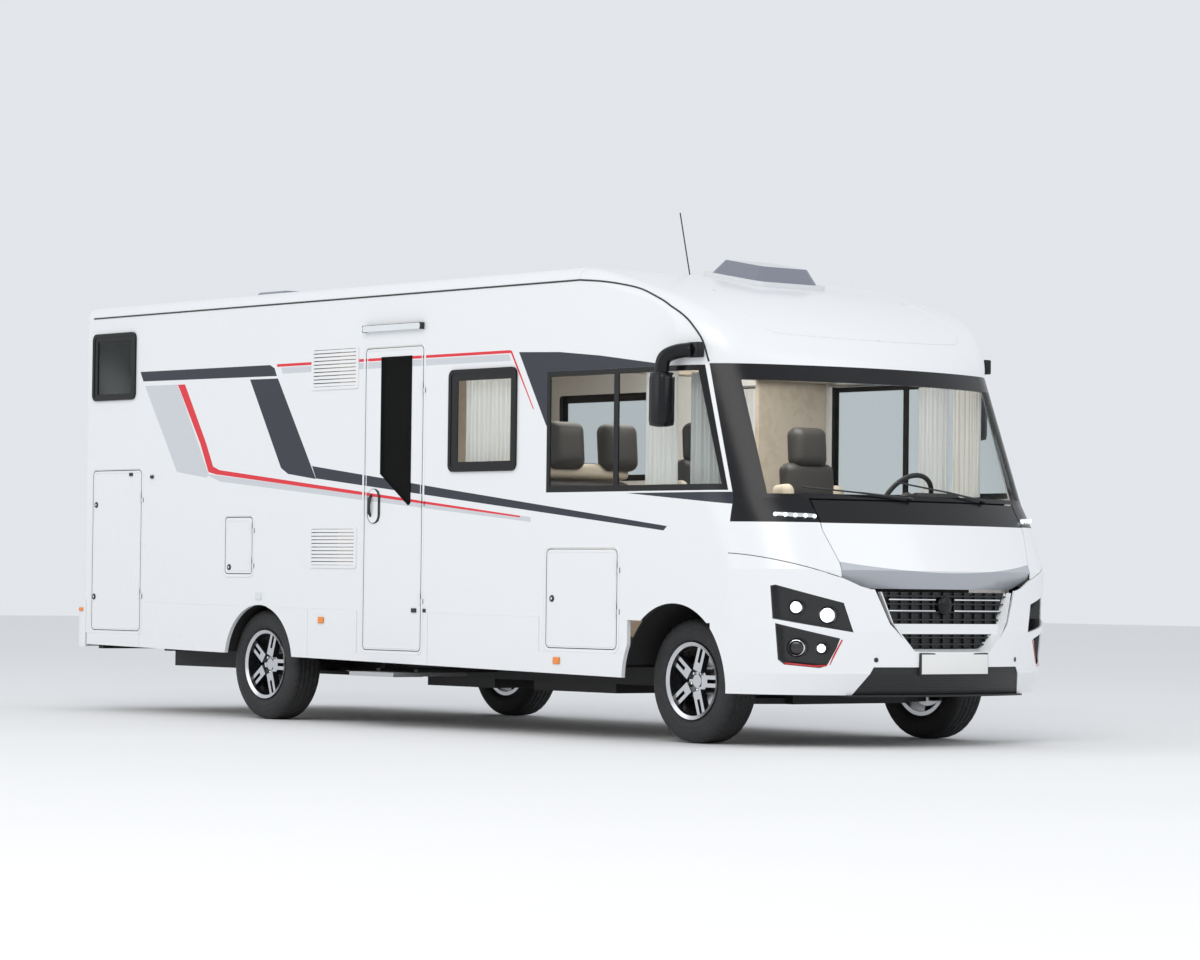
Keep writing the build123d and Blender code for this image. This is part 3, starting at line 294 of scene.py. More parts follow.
def simple(name, color, roughness, metallic=0.0, scale=60.0, depth=0.0002, coat=0.0, vary=0.12, **more):
    """Finish with a grain in its colour, gloss and surface."""
    s = Shader(name)
    grain = s.noise(scale, 4.0, 0.6)
    wide = s.noise(1.7, 2.0)
    dark = rgb(*[c * (1 - vary) for c in color[:3]])
    tone = s.mix(s.spread(wide, 0.0, 1.0), dark, color)
    rough = s.spread(grain, roughness * 0.8, min(1.0, roughness * 1.25))
    normal = s.bump(grain, 0.35, depth)
    return s.finish(s.principled(tone, rough, metallic, normal, coat, **more))


# Body paint with the stripes of both sides, drawn in millimetres from the front axle

NAVY_AREAS = (
    ((-5561, 2303), (-4027, 2297), (-3975, 2275), (-3947, 2223), (-5522, 2237)),
    ((-4253, 2210), (-3935, 2207), (-3497, 1551), (-3808, 1588), (-3887, 1627)),
    ((-3543, 1635), (-2189, 1480), (-2188, 1425), (-3497, 1555)),
    ((-2190, 1480), (-44, 1240), (-75, 1215), (-2190, 1425)),
    ((-1426, 2285), (-1036, 2271), (-664, 2237), (-167, 2176), (-120, 2150), (-1345, 2150)),
    ((-1346, 2151), (-1140, 2151), (-1140, 1830), (-1160, 1842)),
    ((-413, 1432), (525, 1432), (545, 1359)),
)
RED_AREAS = (
    ((-5100, 2202), (-5015, 2202), (-4755, 1807), (-4826, 1807)),
    ((-4826, 1808), (-4755, 1808), (-4665, 1645), (-4720, 1610)),
    ((-4721, 1612), (-4665, 1648), (-4598, 1626), (-4622, 1594)),
    ((-4625, 1627), (-1397, 1306), (-1397, 1296), (-4630, 1596)),
    ((-3948, 2300), (-1513, 2300), (-1494, 2282), (-3948, 2282)),
    ((-1515, 2299), (-1494, 2295), (-1276, 1940), (-1284, 1938)),
)
GREY_AREAS = (
    ((-5502, 2206), (-5100, 2203), (-4720, 1600), (-4740, 1575), (-5096, 1618)),
    ((-4760, 1600), (-4640, 1592), (-1300, 1298), (-1290, 1268), (-4584, 1548)),
    ((-3900, 2276), (-1520, 2276), (-1500, 2236), (-3880, 2236)),
)


def area_mask(s, x, z, points):
    """Above zero where a point lies inside a convex area."""
    middle = (sum(p[0] for p in points) / len(points), sum(p[1] for p in points) / len(points))
    mask = None
    for a, b in zip(points, points[1:] + points[:1]):
        ax, az = a[0] / 1000 + FRONT_AXLE, a[1] / 1000
        bx, bz = b[0] / 1000 + FRONT_AXLE, b[1] / 1000
        nx, nz = bz - az, ax - bx
        if nx * (middle[0] / 1000 + FRONT_AXLE - ax) + nz * (middle[1] / 1000 - az) < 0:
            nx, nz = -nx, -nz
        offset = -(nx * ax + nz * az)
        value = s.math("MULTIPLY_ADD", x, nx, s.math("MULTIPLY_ADD", z, nz, offset))
        mask = value if mask is None else s.math("MINIMUM", mask, value)
    return mask


def any_area(s, x, z, areas):
    """One where a point lies inside any of some convex areas."""
    best = None
    for points in areas:
        mask = area_mask(s, x, z, points)
        best = mask if best is None else s.math("MAXIMUM", best, mask)
    return s.math("GREATER_THAN", best, 0.0)


def paint_material(name, striped):
    """White paint, with stripes on the faces that look sideways and dark cut edges."""
    s = Shader(name)
    wide = s.noise(0.8, 2.0)
    tone = s.mix(s.spread(wide, 0.0, 1.0), rgb(0.79, 0.80, 0.812), WHITE)
    if striped:
        x, y, z = s.axes()
        facing = s.local_normal()[1]
        edge = s.math("LESS_THAN", s.math("ABSOLUTE", facing), 0.35)
        side = s.math("GREATER_THAN", s.math("MULTIPLY", facing, y), 0.3)
        for color, areas in ((GREY, GREY_AREAS), (RED, RED_AREAS), (NAVY, NAVY_AREAS)):
            mask = s.math("MULTIPLY", side, any_area(s, x, z, areas))
            tone = s.mix(mask, tone, color)
        tone = s.mix(edge, tone, rgb(0.03, 0.03, 0.032))
    peel = s.noise(90.0, 2.0)
    rough = s.spread(s.noise(1.2, 2.0), 0.26, 0.30)
    normal = s.bump(peel, 0.06, 0.0006)
    return s.finish(s.principled(tone, rough, 0.0, normal, 0.1))


def glass_material(name, tint, share, clear_areas=None):
    """Thin tinted glass, with a black ceramic edge outside the clear areas."""
    s = Shader(name)
    clear = s.add("BsdfTransparent")
    clear.inputs[0].default_value = tint
    gloss = s.principled(rgb(0.02, 0.022, 0.024), 0.03, 0.0, s.bump(s.noise(1.1, 1.0), 0.02, 0.01))
    fresnel = s.add("Fresnel")
    fresnel.inputs["IOR"].default_value = 1.45
    amount = s.math("ADD", s.math("MULTIPLY", fresnel.outputs[0], 1.2), share)
    back = s.add("NewGeometry").outputs["Backfacing"]
    amount = s.math("MULTIPLY", amount, s.math("SUBTRACT", 1.0, back))
    surface = s.blend(amount, clear.outputs[0], gloss)
    if clear_areas:
        x, _, z = s.axes()
        surface = s.blend(any_area(s, x, z, clear_areas), s.gloss_black(), surface)
    return s.finish(surface)


def glow_material(name, color, power):
    """Lit lens with small cells."""
    s = Shader(name)
    cells = s.add("TexVoronoi")
    s.link(s.coord, cells.inputs["Vector"])
    cells.inputs["Scale"].default_value = 160.0
    strength = s.spread(cells.outputs["Distance"], power * 1.15, power * 0.7)
    node = s.add("BsdfPrincipled")
    node.inputs["Base Color"].default_value = color
    node.inputs["Roughness"].default_value = 0.08
    node.inputs["Emission Color"].default_value = color
    s.link(strength, node.inputs["Emission Strength"])
    return s.finish(node.outputs[0])


def rim_material():
    """Gloss black casting with machined faces on the outside."""
    s = Shader("alloy_two_tone")
    facing = s.math("GREATER_THAN", s.math("ABSOLUTE", s.local_normal()[1]), 0.82)
    grain = s.bump(s.noise(420.0), 0.1, 0.0002)
    metal = s.principled(rgb(0.62, 0.63, 0.65), s.spread(s.noise(300.0), 0.16, 0.3), 1.0, grain)
    black = s.principled(rgb(0.012, 0.012, 0.014), s.spread(s.noise(40.0), 0.2, 0.32), 0.0, None, 0.4)
    return s.finish(s.blend(facing, black, metal))


def leather_material(name, color):
    """Leather with pores and a slow change of tone."""
    s = Shader(name)
    pores = s.add("TexVoronoi")
    s.link(s.coord, pores.inputs["Vector"])
    pores.inputs["Scale"].default_value = 420.0
    tone = s.mix(s.noise(5.0, 4.0), rgb(*[c * 0.85 for c in color[:3]]), color)
    normal = s.bump(pores.outputs["Distance"], 0.25, 0.0006)
    return s.finish(s.principled(tone, s.spread(s.noise(30.0), 0.42, 0.6), 0.0, normal))


def cloth_material(name, color, scale=900.0, see_through=0.0):
    """Woven cloth, with a share of light let through."""
    s = Shader(name)
    weave = s.add("TexWave")
    s.link(s.coord, weave.inputs["Vector"])
    weave.inputs["Scale"].default_value = scale
    weave.inputs["Distortion"].default_value = 1.5
    tone = s.mix(weave.outputs["Fac"], rgb(*[c * 0.9 for c in color[:3]]), color)
    surface = s.principled(tone, 0.9, 0.0, s.bump(weave.outputs["Fac"], 0.3, 0.0003))
    if see_through:
        glow = s.add("BsdfTranslucent")
        glow.inputs[0].default_value = color
        surface = s.blend(0.4, surface, glow.outputs[0])
        surface = s.blend(see_through, surface, s.add("BsdfTransparent").outputs[0])
    return s.finish(surface)


def tyre_material():
    """Dull rubber with dusty patches."""
    s = Shader("tyre_rubber")
    tone = s.mix(s.noise(9.0, 5.0), rgb(0.010, 0.010, 0.011), rgb(0.026, 0.026, 0.027))
    grain = s.bump(s.noise(220.0), 0.3, 0.0006)
    return s.finish(s.principled(tone, s.spread(s.noise(50.0), 0.55, 0.8), 0.0, grain))


def wood_material(name, light, dark):
    """Board with its grain along X."""
    s = Shader(name)
    stretch = s.add("Mapping")
    s.link(s.coord, stretch.inputs["Vector"])
    stretch.inputs["Scale"].default_value = (0.6, 6.0, 6.0)
    rings = s.add("TexWave")
    s.link(stretch.outputs[0], rings.inputs["Vector"])
    rings.inputs["Scale"].default_value = 1.6
    rings.inputs["Distortion"].default_value = 9.0
    rings.inputs["Detail"].default_value = 3.0
    tone = s.mix(rings.outputs["Fac"], dark, light)
    grain = s.bump(rings.outputs["Fac"], 0.08, 0.0005)
    return s.finish(s.principled(tone, s.spread(s.noise(20.0), 0.35, 0.5), 0.0, grain))


def mesh_material():
    """Black plastic with a pressed mesh of small cells, the sunken cells darker than the web as painted shade."""
    s = Shader("grille_black")
    _, y, z = s.axes()
    plan = s.add("CombineXYZ")
    s.link(y, plan.inputs[0])
    s.link(z, plan.inputs[1])
    cells = s.add("TexBrick")
    s.link(plan.outputs[0], cells.inputs["Vector"])
    cells.inputs["Scale"].default_value = 20.0
    cells.inputs["Mortar Size"].default_value = 0.035
    height = cells.outputs["Fac"]
    # Sunken cells darker than the raised web: painted shade in the recesses.
    tone = s.mix(height, rgb(0.003, 0.003, 0.004), rgb(0.020, 0.020, 0.023))
    pressed = s.bump(height, 0.5, 0.004)
    return s.finish(s.principled(tone, s.spread(s.noise(90.0), 0.35, 0.5), 0.0, pressed))


# Clear panes of the side windows: rear, kitchen right, kitchen left, cab rear and cab front
PANES = (
    ((-6084, 2162), (-5668, 2162), (-5668, 2524), (-6084, 2524)),
    ((-2008, 1636), (-1488, 1636), (-1488, 2130), (-2008, 2130)),
    ((-3838, 1636), (-2962, 1636), (-2962, 2130), (-3838, 2130)),
    ((-1120, 1478), (-532, 1478), (-532, 2125), (-1120, 2125)),
    ((-488, 1478), (396, 1478), (172, 2125), (-488, 2125)),
)
MAT = {
    "paint": paint_material("paint_white", False),
    "striped": paint_material("paint_striped", True),
    "black": simple("gloss_black", rgb(0.006, 0.006, 0.008), 0.24, scale=40.0, depth=0.0001,
                    Specular_IOR_Level=0.3),
    "trim": simple("matt_black", rgb(0.020, 0.020, 0.021), 0.5, scale=260.0, depth=0.0005),
    "grille": mesh_material(),
    "steel": simple("chassis_paint", rgb(0.030, 0.030, 0.032), 0.5, 0.3, scale=45.0, depth=0.0008, vary=0.4),
    "alloy": rim_material(),
    "chrome": simple("chrome", rgb(0.80, 0.81, 0.83), 0.08, 1.0, scale=30.0, depth=0.0001, vary=0.05),
    "step": simple("step_alloy", rgb(0.55, 0.56, 0.57), 0.35, 0.9, scale=140.0, depth=0.0004),
    "tyre": tyre_material(),
    "screen": glass_material("screen_glass", rgb(0.93, 0.95, 0.95), 0.03),
    "windows": glass_material("window_glass", rgb(0.90, 0.92, 0.92), 0.03, PANES),
    "dark_glass": glass_material("dark_glass", rgb(0.10, 0.11, 0.12), 0.06),
    "cream": leather_material("leather_cream", rgb(0.62, 0.54, 0.44)),
    "taupe": leather_material("leather_dark", rgb(0.050, 0.046, 0.045)),
    "board": wood_material("cabinet_wood", rgb(0.60, 0.52, 0.43), rgb(0.54, 0.46, 0.37)),
    "floor_in": wood_material("floor_vinyl", rgb(0.24, 0.19, 0.15), rgb(0.16, 0.12, 0.09)),
    "dash": simple("dash_plastic", rgb(0.040, 0.040, 0.042), 0.6, scale=320.0, depth=0.0006),
    "net": cloth_material("net_curtain", rgb(0.95, 0.95, 0.95), 1400.0, 0.10),
    "drape": cloth_material("drape", rgb(0.86, 0.85, 0.83)),
    "lamp": simple("lamp_black", rgb(0.015, 0.015, 0.018), 0.16, scale=30.0, depth=0.0001, coat=0.5),
    "mirror": simple("reflector", rgb(0.85, 0.86, 0.88), 0.05, 1.0, scale=80.0, depth=0.0002, vary=0.05),
    "beam": glow_material("lamp_on", rgb(0.90, 0.95, 1.0), 3.2),
    "led": glow_material("led_on", rgb(0.80, 0.90, 1.0), 3.0),
    "amber": simple("amber_lens", rgb(0.90, 0.26, 0.02), 0.12, scale=200.0, depth=0.0006, coat=0.5),
    "red_lens": simple("red_lens", rgb(0.55, 0.01, 0.012), 0.12, scale=200.0, depth=0.0006, coat=0.5),
    "clear_lens": simple("clear_lens", rgb(0.75, 0.78, 0.80), 0.08, scale=200.0, depth=0.0006, coat=0.5),
    "plate": simple("plate_white", rgb(0.80, 0.80, 0.79), 0.35, scale=150.0, depth=0.0002),
    "dome": simple("dome_smoke", rgb(0.20, 0.21, 0.26), 0.10, scale=12.0, depth=0.0003, coat=0.6),
}

NODE_MATERIAL = {
    "side_wall_right": "striped", "side_wall_left": "striped", "entry_door": "striped",
    "locker_rear_right": "striped", "locker_rear_left": "striped", "locker_front_right": "striped",
    "service_hatch": "striped", "rear_wall": "paint", "roof_panel": "paint", "front_cap": "paint",
    "screen_surround": "black", "windscreen": "screen", "cowl_panels": "paint", "bonnet": "bonnet",
    "bumper_front": "paint", "headlamps": "lamp", "grilles": "grille", "windows": "windows",
    "door_window": "dark_glass", "fridge_vents": "paint", "skirts": "paint", "rear_bumper": "paint",
    "exterior_lamps": "clear_lens", "roof_frames": "roof_frames",
    "skylight_lid": "dome", "roof_vent_lid": "dome",
    "mirrors": "black", "wipers": "trim", "knuckle_right": "steel", "knuckle_left": "steel",
    "front_suspension": "steel", "rear_axle": "steel", "chassis_frame": "steel", "floor": "floor_in",
    "wheel_liners": "trim", "engine": "steel", "tanks": "trim", "seats": "taupe", "dashboard": "dash",
    "furniture": "board", "entry_step": "step",
}


def bonnet_material():
    """White lid whose top between glass and crease is black, and whose lower face below the crease is grey as painted
    shade, for a face that looks down.
    """
    s = Shader("bonnet_two_tone")
    _, y, z = s.axes()
    top = s.math("GREATER_THAN", z, 1.262)
    crease = s.math("MULTIPLY_ADD", s.math("MULTIPLY", y, y), 0.10, 0.990)
    # Grey below the crease is painted shade of the lower face, which looks down.
    tone = s.mix(s.math("LESS_THAN", z, crease), WHITE, rgb(0.42, 0.44, 0.48))
    peel = s.bump(s.noise(90.0), 0.06, 0.0006)
    white = s.principled(tone, s.spread(s.noise(3.0, 4.0), 0.16, 0.26), 0.0, peel, 0.35)
    return s.finish(s.blend(top, white, s.gloss_black()))


def roof_material():
    """White mouldings with a black aerial above them."""
    s = Shader("roof_fittings")
    aerial = s.math("GREATER_THAN", s.axes()[2], 2.797)
    tone = s.mix(aerial, rgb(0.70, 0.71, 0.72), rgb(0.02, 0.02, 0.022))
    grain = s.bump(s.noise(300.0), 0.2, 0.0003)
    return s.finish(s.principled(tone, s.spread(s.noise(60.0), 0.3, 0.45), 0.0, grain))


MAT["bonnet"] = bonnet_material()
MAT["roof_frames"] = roof_material()


def smooth(obj, angle):
    """Smooth shading, broken at edges sharper than the angle in degrees."""
    for face in obj.data.polygons:
        face.use_smooth = True
    with bpy.context.temp_override(
        object=obj, active_object=obj, selected_objects=[obj], selected_editable_objects=[obj]
    ):
        try:
            bpy.ops.object.shade_auto_smooth(angle=math.radians(angle))
        except RuntimeError:
            pass


def dress(obj, material):
    obj.data.materials.clear()
    obj.data.materials.append(material)


for node_name, key in NODE_MATERIAL.items():
    dress(NODES[node_name], MAT[key])
for node_name, node in NODES.items():
    if node_name.startswith("rim_"):
        dress(node, MAT["alloy"])

# Mesh helpers


def placed(name, mesh, material):
    """New object of a mesh, linked to the scene."""
    obj = bpy.data.objects.new(name, mesh)
    bpy.context.scene.collection.objects.link(obj)
    mesh.materials.append(material)
    return obj


def mesh_piece(name, verts, faces, material, body, angle):
    """Piece from points and faces that rides on a body."""
    mesh = bpy.data.meshes.new(name)
    mesh.from_pydata([tuple(v) for v in verts], [], faces)
    mesh.validate()
    mesh.update()
    obj = placed(name, mesh, material)
    smooth(obj, angle)
    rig.ride(obj, body)
    return obj


def turned_to(direction):
    """Rotation that carries the Z axis onto a direction."""
    return Vector((0, 0, 1)).rotation_difference(Vector(direction).normalized()).to_matrix()


class Build:
    """Gathers simple forms into one mesh."""

    def __init__(self):
        self.bm = bmesh.new()

    def block(self, low, high, bevel=0.0):
        """Box between two points in millimetres from the front axle."""
        a, b = at(*low), at(*high)
        made = bmesh.ops.create_cube(self.bm, size=1.0)["verts"]
        size = Vector([abs(b[i] - a[i]) for i in range(3)])
        bmesh.ops.scale(self.bm, verts=made, vec=size)
        bmesh.ops.translate(self.bm, verts=made, vec=(a + b) / 2)
        if bevel:
            edges = list({e for v in made for e in v.link_edges})
            bmesh.ops.bevel(self.bm, geom=edges, offset=bevel / 1000, segments=2, affect="EDGES", profile=0.7)
        return self

    def disc(self, centre, direction, radius, depth, sides=32, top=None):
        """Cylinder from a point along a direction, in millimetres."""
        turn = turned_to(direction).to_4x4()
        place = Matrix.Translation(at(*centre)) @ turn @ Matrix.Translation((0, 0, depth / 2000))
        bmesh.ops.create_cone(
            self.bm, cap_ends=True, segments=sides, radius1=radius / 1000,
            radius2=(radius if top is None else top) / 1000, depth=depth / 1000, matrix=place,
        )
        return self

    def dome(self, centre, direction, radius, height, sides=32):
        """Flattened ball with its short axis along a direction, in millimetres."""
        turn = turned_to(direction).to_4x4()
        made = bmesh.ops.create_uvsphere(self.bm, u_segments=sides, v_segments=16, radius=1.0)["verts"]
        bmesh.ops.scale(self.bm, verts=made, vec=(radius / 1000, radius / 1000, height / 1000))
        bmesh.ops.transform(self.bm, verts=made, matrix=Matrix.Translation(at(*centre)) @ turn)
        return self

    def tube(self, points, radius, sides=10):
        """Round bar through points in millimetres."""
        line = [at(*p) for p in points]
        rings = []
        for i, p in enumerate(line):
            ahead = line[min(i + 1, len(line) - 1)] - line[max(i - 1, 0)]
            turn = turned_to(ahead)
            ring = []
            for k in range(sides):
                angle = 2 * math.pi * k / sides
                arm = turn @ Vector((math.cos(angle), math.sin(angle), 0)) * radius / 1000
                ring.append(self.bm.verts.new(p + arm))
            rings.append(ring)
        for one, two in zip(rings, rings[1:]):
            for k in range(sides):
                self.bm.faces.new((one[k], one[(k + 1) % sides], two[(k + 1) % sides], two[k]))
        self.bm.faces.new(rings[0][::-1])
        self.bm.faces.new(rings[-1])
        return self

    def piece(self, name, material, body="coach", replaces=()):
        """Closes the mesh as a piece that rides on a body."""
        mesh = bpy.data.meshes.new(name)
        bmesh.ops.recalc_face_normals(self.bm, faces=self.bm.faces)
        self.bm.to_mesh(mesh)
        self.bm.free()
        obj = placed(name, mesh, material)
        smooth(obj, 35)
        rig.ride(obj, body)
        if replaces:
            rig.replaces(obj, *replaces)


def tree_of(*names):
    """Search tree over the surfaces of some CAD nodes."""
    verts, faces = [], []
    for name in names:
        start = len(verts)
        mesh = NODES[name].data
        verts += [v.co.copy() for v in mesh.vertices]
        faces += [tuple(start + i for i in p.vertices) for p in mesh.polygons]
    return BVHTree.FromPolygons(verts, faces)


def on_surface(tree, point, direction, lift=0.0):
    """Where a ray from a point first meets the tree, moved back by lift millimetres."""
    aim = Vector(direction).normalized()
    hit = tree.ray_cast(at(*point), aim)[0]
    if hit is None:
        return None
    hit = hit - aim * lift / 1000
    return ((hit.x - FRONT_AXLE) * 1000, hit.y * 1000, hit.z * 1000)


# Tyres with tread blocks

HUB_Z = 357
TYRE_R = 356.8
TYRE_W = 225
BEAD_R = 220
GROOVES = (-50, -17, 17, 50)
GROOVE_HALF = 4.2
GROOVE_DEPTH = 7.5
SIPE_DEPTH = 5.5
SHOULDER = 54
SEGMENTS = 240
NUTS = 5
NUT_CIRCLE = 52
NUT_FACE = 51
WHEEL_PLACES = {
    "front_right": (0, -904, -1),
    "front_left": (0, 904, 1),
    "rear_right": (-4143, -990, -1),
    "rear_left": (-4143, 990, 1),
}


def tyre_profile():
    """Half profile as (radius, offset, share of the tread pattern)."""
    half = TYRE_W / 2
    wall = [
        (BEAD_R, half - 22, 0), (246, half - 4, 0), (262, half - 2, 0),
        (266, half - 0.4, 0), (270, half - 2, 0), (288, half, 0), (300, half - 0.3, 0), (318, half - 6, 0), (328, half - 8.5, 0), (335, half - 12, 0.2),
        (346, half - 22, 0.8), (353, half - 30, 1), (355, half - 38, 1),
    ]
    tread = []
    steps = 34
    edge = half - 44
    for i in range(steps + 1):
        offset = edge - 2 * edge * i / steps
        crown = 1.2 * (offset / edge) ** 2
        tread.append((TYRE_R - crown, offset, 1))
    return wall + tread + [(r, -o, t) for r, o, t in reversed(wall)]


def tread_depth(step, offset, share):
    """Depth of the grooves and sipes at a point of the tread."""
    if not share:
        return 0.0
    if share == 1 and any(abs(offset - g) < GROOVE_HALF for g in GROOVES):
        return GROOVE_DEPTH
    slant = step + int(offset / 14)
    if abs(offset) > SHOULDER:
        sipe = slant % 6 == 0
    else:
        sipe = (slant + 3) % 8 == 0 and abs(offset) < 48
    return SIPE_DEPTH * share if sipe else 0.0


def tyre_piece(name, x, y):
    """Tyre with tread that takes the place of its CAD node."""
    profile = tyre_profile()
    verts, faces = [], []
    for i in range(SEGMENTS):
        angle = 2 * math.pi * i / SEGMENTS
        for radius, offset, share in profile:
            r = radius - tread_depth(i, offset, share)
            verts.append(at(x + r * math.sin(angle), y + offset, HUB_Z + r * math.cos(angle)))
    count = len(profile)
    for i in range(SEGMENTS):
        for j in range(count - 1):
            a = i * count + j
            b = ((i + 1) % SEGMENTS) * count + j
            faces.append((a, a + 1, b + 1, b))
        a, b = i * count, ((i + 1) % SEGMENTS) * count
        faces.append((a + count - 1, a, b, b + count - 1))
    obj = mesh_piece(f"tread_{name}", verts, faces, MAT["tyre"], f"wheel_{name}", 30)
    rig.replaces(obj, f"tyre_{name}")


for wheel, (wx, wy, side) in WHEEL_PLACES.items():
    tyre_piece(wheel, wx, wy)
    nuts = Build()
    for k in range(NUTS):
        angle = 2 * math.pi * (k + 0.5) / NUTS
        nx, nz = NUT_CIRCLE * math.sin(angle), NUT_CIRCLE * math.cos(angle)
        nuts.disc((wx + nx, wy + side * NUT_FACE, HUB_Z + nz), (0, side, 0), 10, 14, 6)
    nuts.piece(f"nuts_{wheel}", MAT["chrome"], f"wheel_{wheel}")

# Lamps of the front

LAMP_TURN = math.radians(47.8)
LAMP_POINT = (858, -873)
LAMP_BED = -44.5
LAMP_FACE = -39
LAMPS = ((-88, 788, 44, "beam"), (88, 745, 52, "beam"), (-83, 562, 56, "dark"), (57, 560, 36, "beam"))


def lamp_at(s, z, out, side):
    """Point in the lamp's own plane: s along it, out in front of it."""
    x = LAMP_POINT[0] + out * math.cos(LAMP_TURN) + s * math.sin(LAMP_TURN)
    y = LAMP_POINT[1] - out * math.sin(LAMP_TURN) + s * math.cos(LAMP_TURN)
    return (x, y * -side, z)


for side, word in ((-1, "right"), (1, "left")):
    facing = (math.cos(LAMP_TURN), math.sin(LAMP_TURN) * side, 0)
    lit, rings, dark = Build(), Build(), Build()
    for s, z, radius, kind in LAMPS:
        rings.disc(lamp_at(s, z, LAMP_BED, side), facing, radius - 2, 6, 40, radius - 12)
        target = lit if kind == "beam" else dark
        target.dome(lamp_at(s, z, LAMP_FACE, side), facing, radius - 14, 12, 36)
    lit.piece(f"lamp_glass_{word}", MAT["beam"])
    rings.piece(f"lamp_rings_{word}", MAT["mirror"])
    dark.piece(f"lamp_dark_{word}", MAT["lamp"])

# Small lights of the sides

markers = Build()
for x, z in ((-3410, 654), (-1024, 451)):
    for side in (-1, 1):
        markers.block((x - 30, side * 1171, z - 20), (x + 30, side * 1180, z + 20), 5)
markers.piece("marker_lamps", MAT["amber"])

# Lines, frames and locks on the outside

SKIN_TREE = tree_of("side_wall_right", "side_wall_left", "front_cap", "roof_panel", "skirts", "cowl_panels",
                    "bumper_front", "bonnet", "screen_surround")


# A ray to the side starts this far out; a ray to the nose starts this far ahead, turned by 45 degrees at AIM_Y
FAR_Y = 1500
AHEAD = 700
AIM_Y = 1400


def side_point(x, z, side):
    """Point of the skin seen from the side."""
    hit = on_surface(SKIN_TREE, (x, side * FAR_Y, z), (0, -side, 0))
    return hit or (x, side * WALL_Y, z)


def front_point(x, y, z, lift=0.0):
    """Point of the nose seen from the front corner, moved out by lift millimetres."""
    aim = Vector((-1, -y / AIM_Y, 0.02))
    origin = (x + AHEAD, y + AHEAD * y / AIM_Y, z - 14)
    return on_surface(SKIN_TREE, origin, aim, lift) or (x, y, z)


def smoothed(points, per=6):
    """Catmull-Rom curve through points."""
    out = []
    pts = [points[0]] + list(points) + [points[-1]]
    for i in range(1, len(pts) - 2):
        p0, p1, p2, p3 = (Vector(p) for p in pts[i - 1:i + 3])
        for k in range(per):
            u = k / per
            out.append(0.5 * ((2 * p1) + (p2 - p0) * u + (2 * p0 - 5 * p1 + 4 * p2 - p3) * u * u
                              + (3 * p1 - p0 - 3 * p2 + p3) * u ** 3))
    out.append(Vector(points[-1]))
    return [tuple(v) for v in out]


ROOF_SEAM = ((-857, 2688), (-672, 2672), (-489, 2646), (-309, 2608), (-129, 2542), (-40, 2497), (48, 2448),
             (119, 2388), (190, 2293), (222, 2175))
seams = Build()
for side in (-1, 1):
    line = [side_point(x, 2688, side) for x in range(-6150, -857, 400)]
    line += [side_point(x, z, side) for x, z in smoothed(ROOF_SEAM, 4)]
    seams.tube(line, 5.5, 8)
seams.piece("roof_seams", MAT["trim"])


def corner_loop(x0, x1, z0, z1, radius, per=6):
    """Points of a rectangle with rounded corners on a side wall."""
    loop = []
    for cx, cz, start in ((x1 - radius, z1 - radius, 0), (x0 + radius, z1 - radius, 90),
                          (x0 + radius, z0 + radius, 180), (x1 - radius, z0 + radius, 270)):
        for k in range(per + 1):
            angle = math.radians(start + 90 * k / per)
            loop.append((cx + radius * math.cos(angle), cz + radius * math.sin(angle)))
    return loop


def flat_ring(build, loop, side, width, height):
    """Raised bar with rounded edges along a closed loop on a side wall."""
    count = len(loop)
    low = height * 0.6
    section = ((-0.5, -1.0), (-0.5, low), (-0.34, height), (0.34, height), (0.5, low), (0.5, -1.0))
    rings = []
    for i in range(count):
        ax, az = loop[i - 1]
        bx, bz = loop[(i + 1) % count]
        dx, dz = bx - ax, bz - az
        size = math.hypot(dx, dz) or 1.0
        nx, nz = dz / size, -dx / size
        x, z = loop[i]
        rings.append([
            build.bm.verts.new(at(x + nx * width * s, side * (WALL_Y + h), z + nz * width * s))
            for s, h in section
        ])
    for i in range(count):
        one, two = rings[i], rings[(i + 1) % count]
        for k in range(len(section) - 1):
            build.bm.faces.new((one[k], one[k + 1], two[k + 1], two[k]))


PANELS = (
    ("entry_door", (-2972, -2370, 474, 2362), 30, -1),
    ("locker_rear_right", (-6132, -5524, 547, 1640), 30, -1),
    ("locker_rear_left", (-6132, -5524, 547, 1640), 30, 1),
    ("locker_front_right", (-1139, -483, 523, 1110), 30, -1),
    ("service_hatch", (-4512, -4200, 941, 1314), 25, -1),
)
# How far the frame's middle lies outside a panel, and the bead's inside it
FRAME_OUT = 13
BEAD_IN = {"service_hatch": 24}
frames = Build()
for name, (x0, x1, z0, z1), radius, side in PANELS:
    loop = corner_loop(x0 - FRAME_OUT, x1 + FRAME_OUT, z0 - FRAME_OUT, z1 + FRAME_OUT, radius + FRAME_OUT)
    flat_ring(frames, loop, side, 17, 3.5)
frames.piece("panel_frames", MAT["paint"])
for name, (x0, x1, z0, z1), radius, side in PANELS:
    lip = Build()
    inner = BEAD_IN.get(name, 17)
    loop = corner_loop(x0 + inner, x1 - inner, z0 + inner, z1 - inner, max(radius - inner, 8) + 8)
    flat_ring(lip, loop, side, 7, 2.0)
    lip.piece(f"{name}_bead", MAT["paint"], name)

LOCKS = (
    ("locker_rear_right", -1, ((-6088, 1405), (-6102, 776))),
    ("locker_rear_left", 1, ((-6088, 1405), (-6102, 776))),
    ("locker_front_right", -1, ((-1083, 816),)),
    ("service_hatch", -1, ((-4462, 985),)),
)
for name, side, places in LOCKS:
    lock, keyway = Build(), Build()
    for x, z in places:
        lock.disc((x, side * 1164.5, z), (0, side, 0), 21, 6, 28, 18)
        keyway.disc((x, side * 1170.5, z), (0, side, 0), 8, 2, 20)
    lock.piece(f"{name}_locks", MAT["trim"], name)
    keyway.piece(f"{name}_keyways", MAT["chrome"], name)

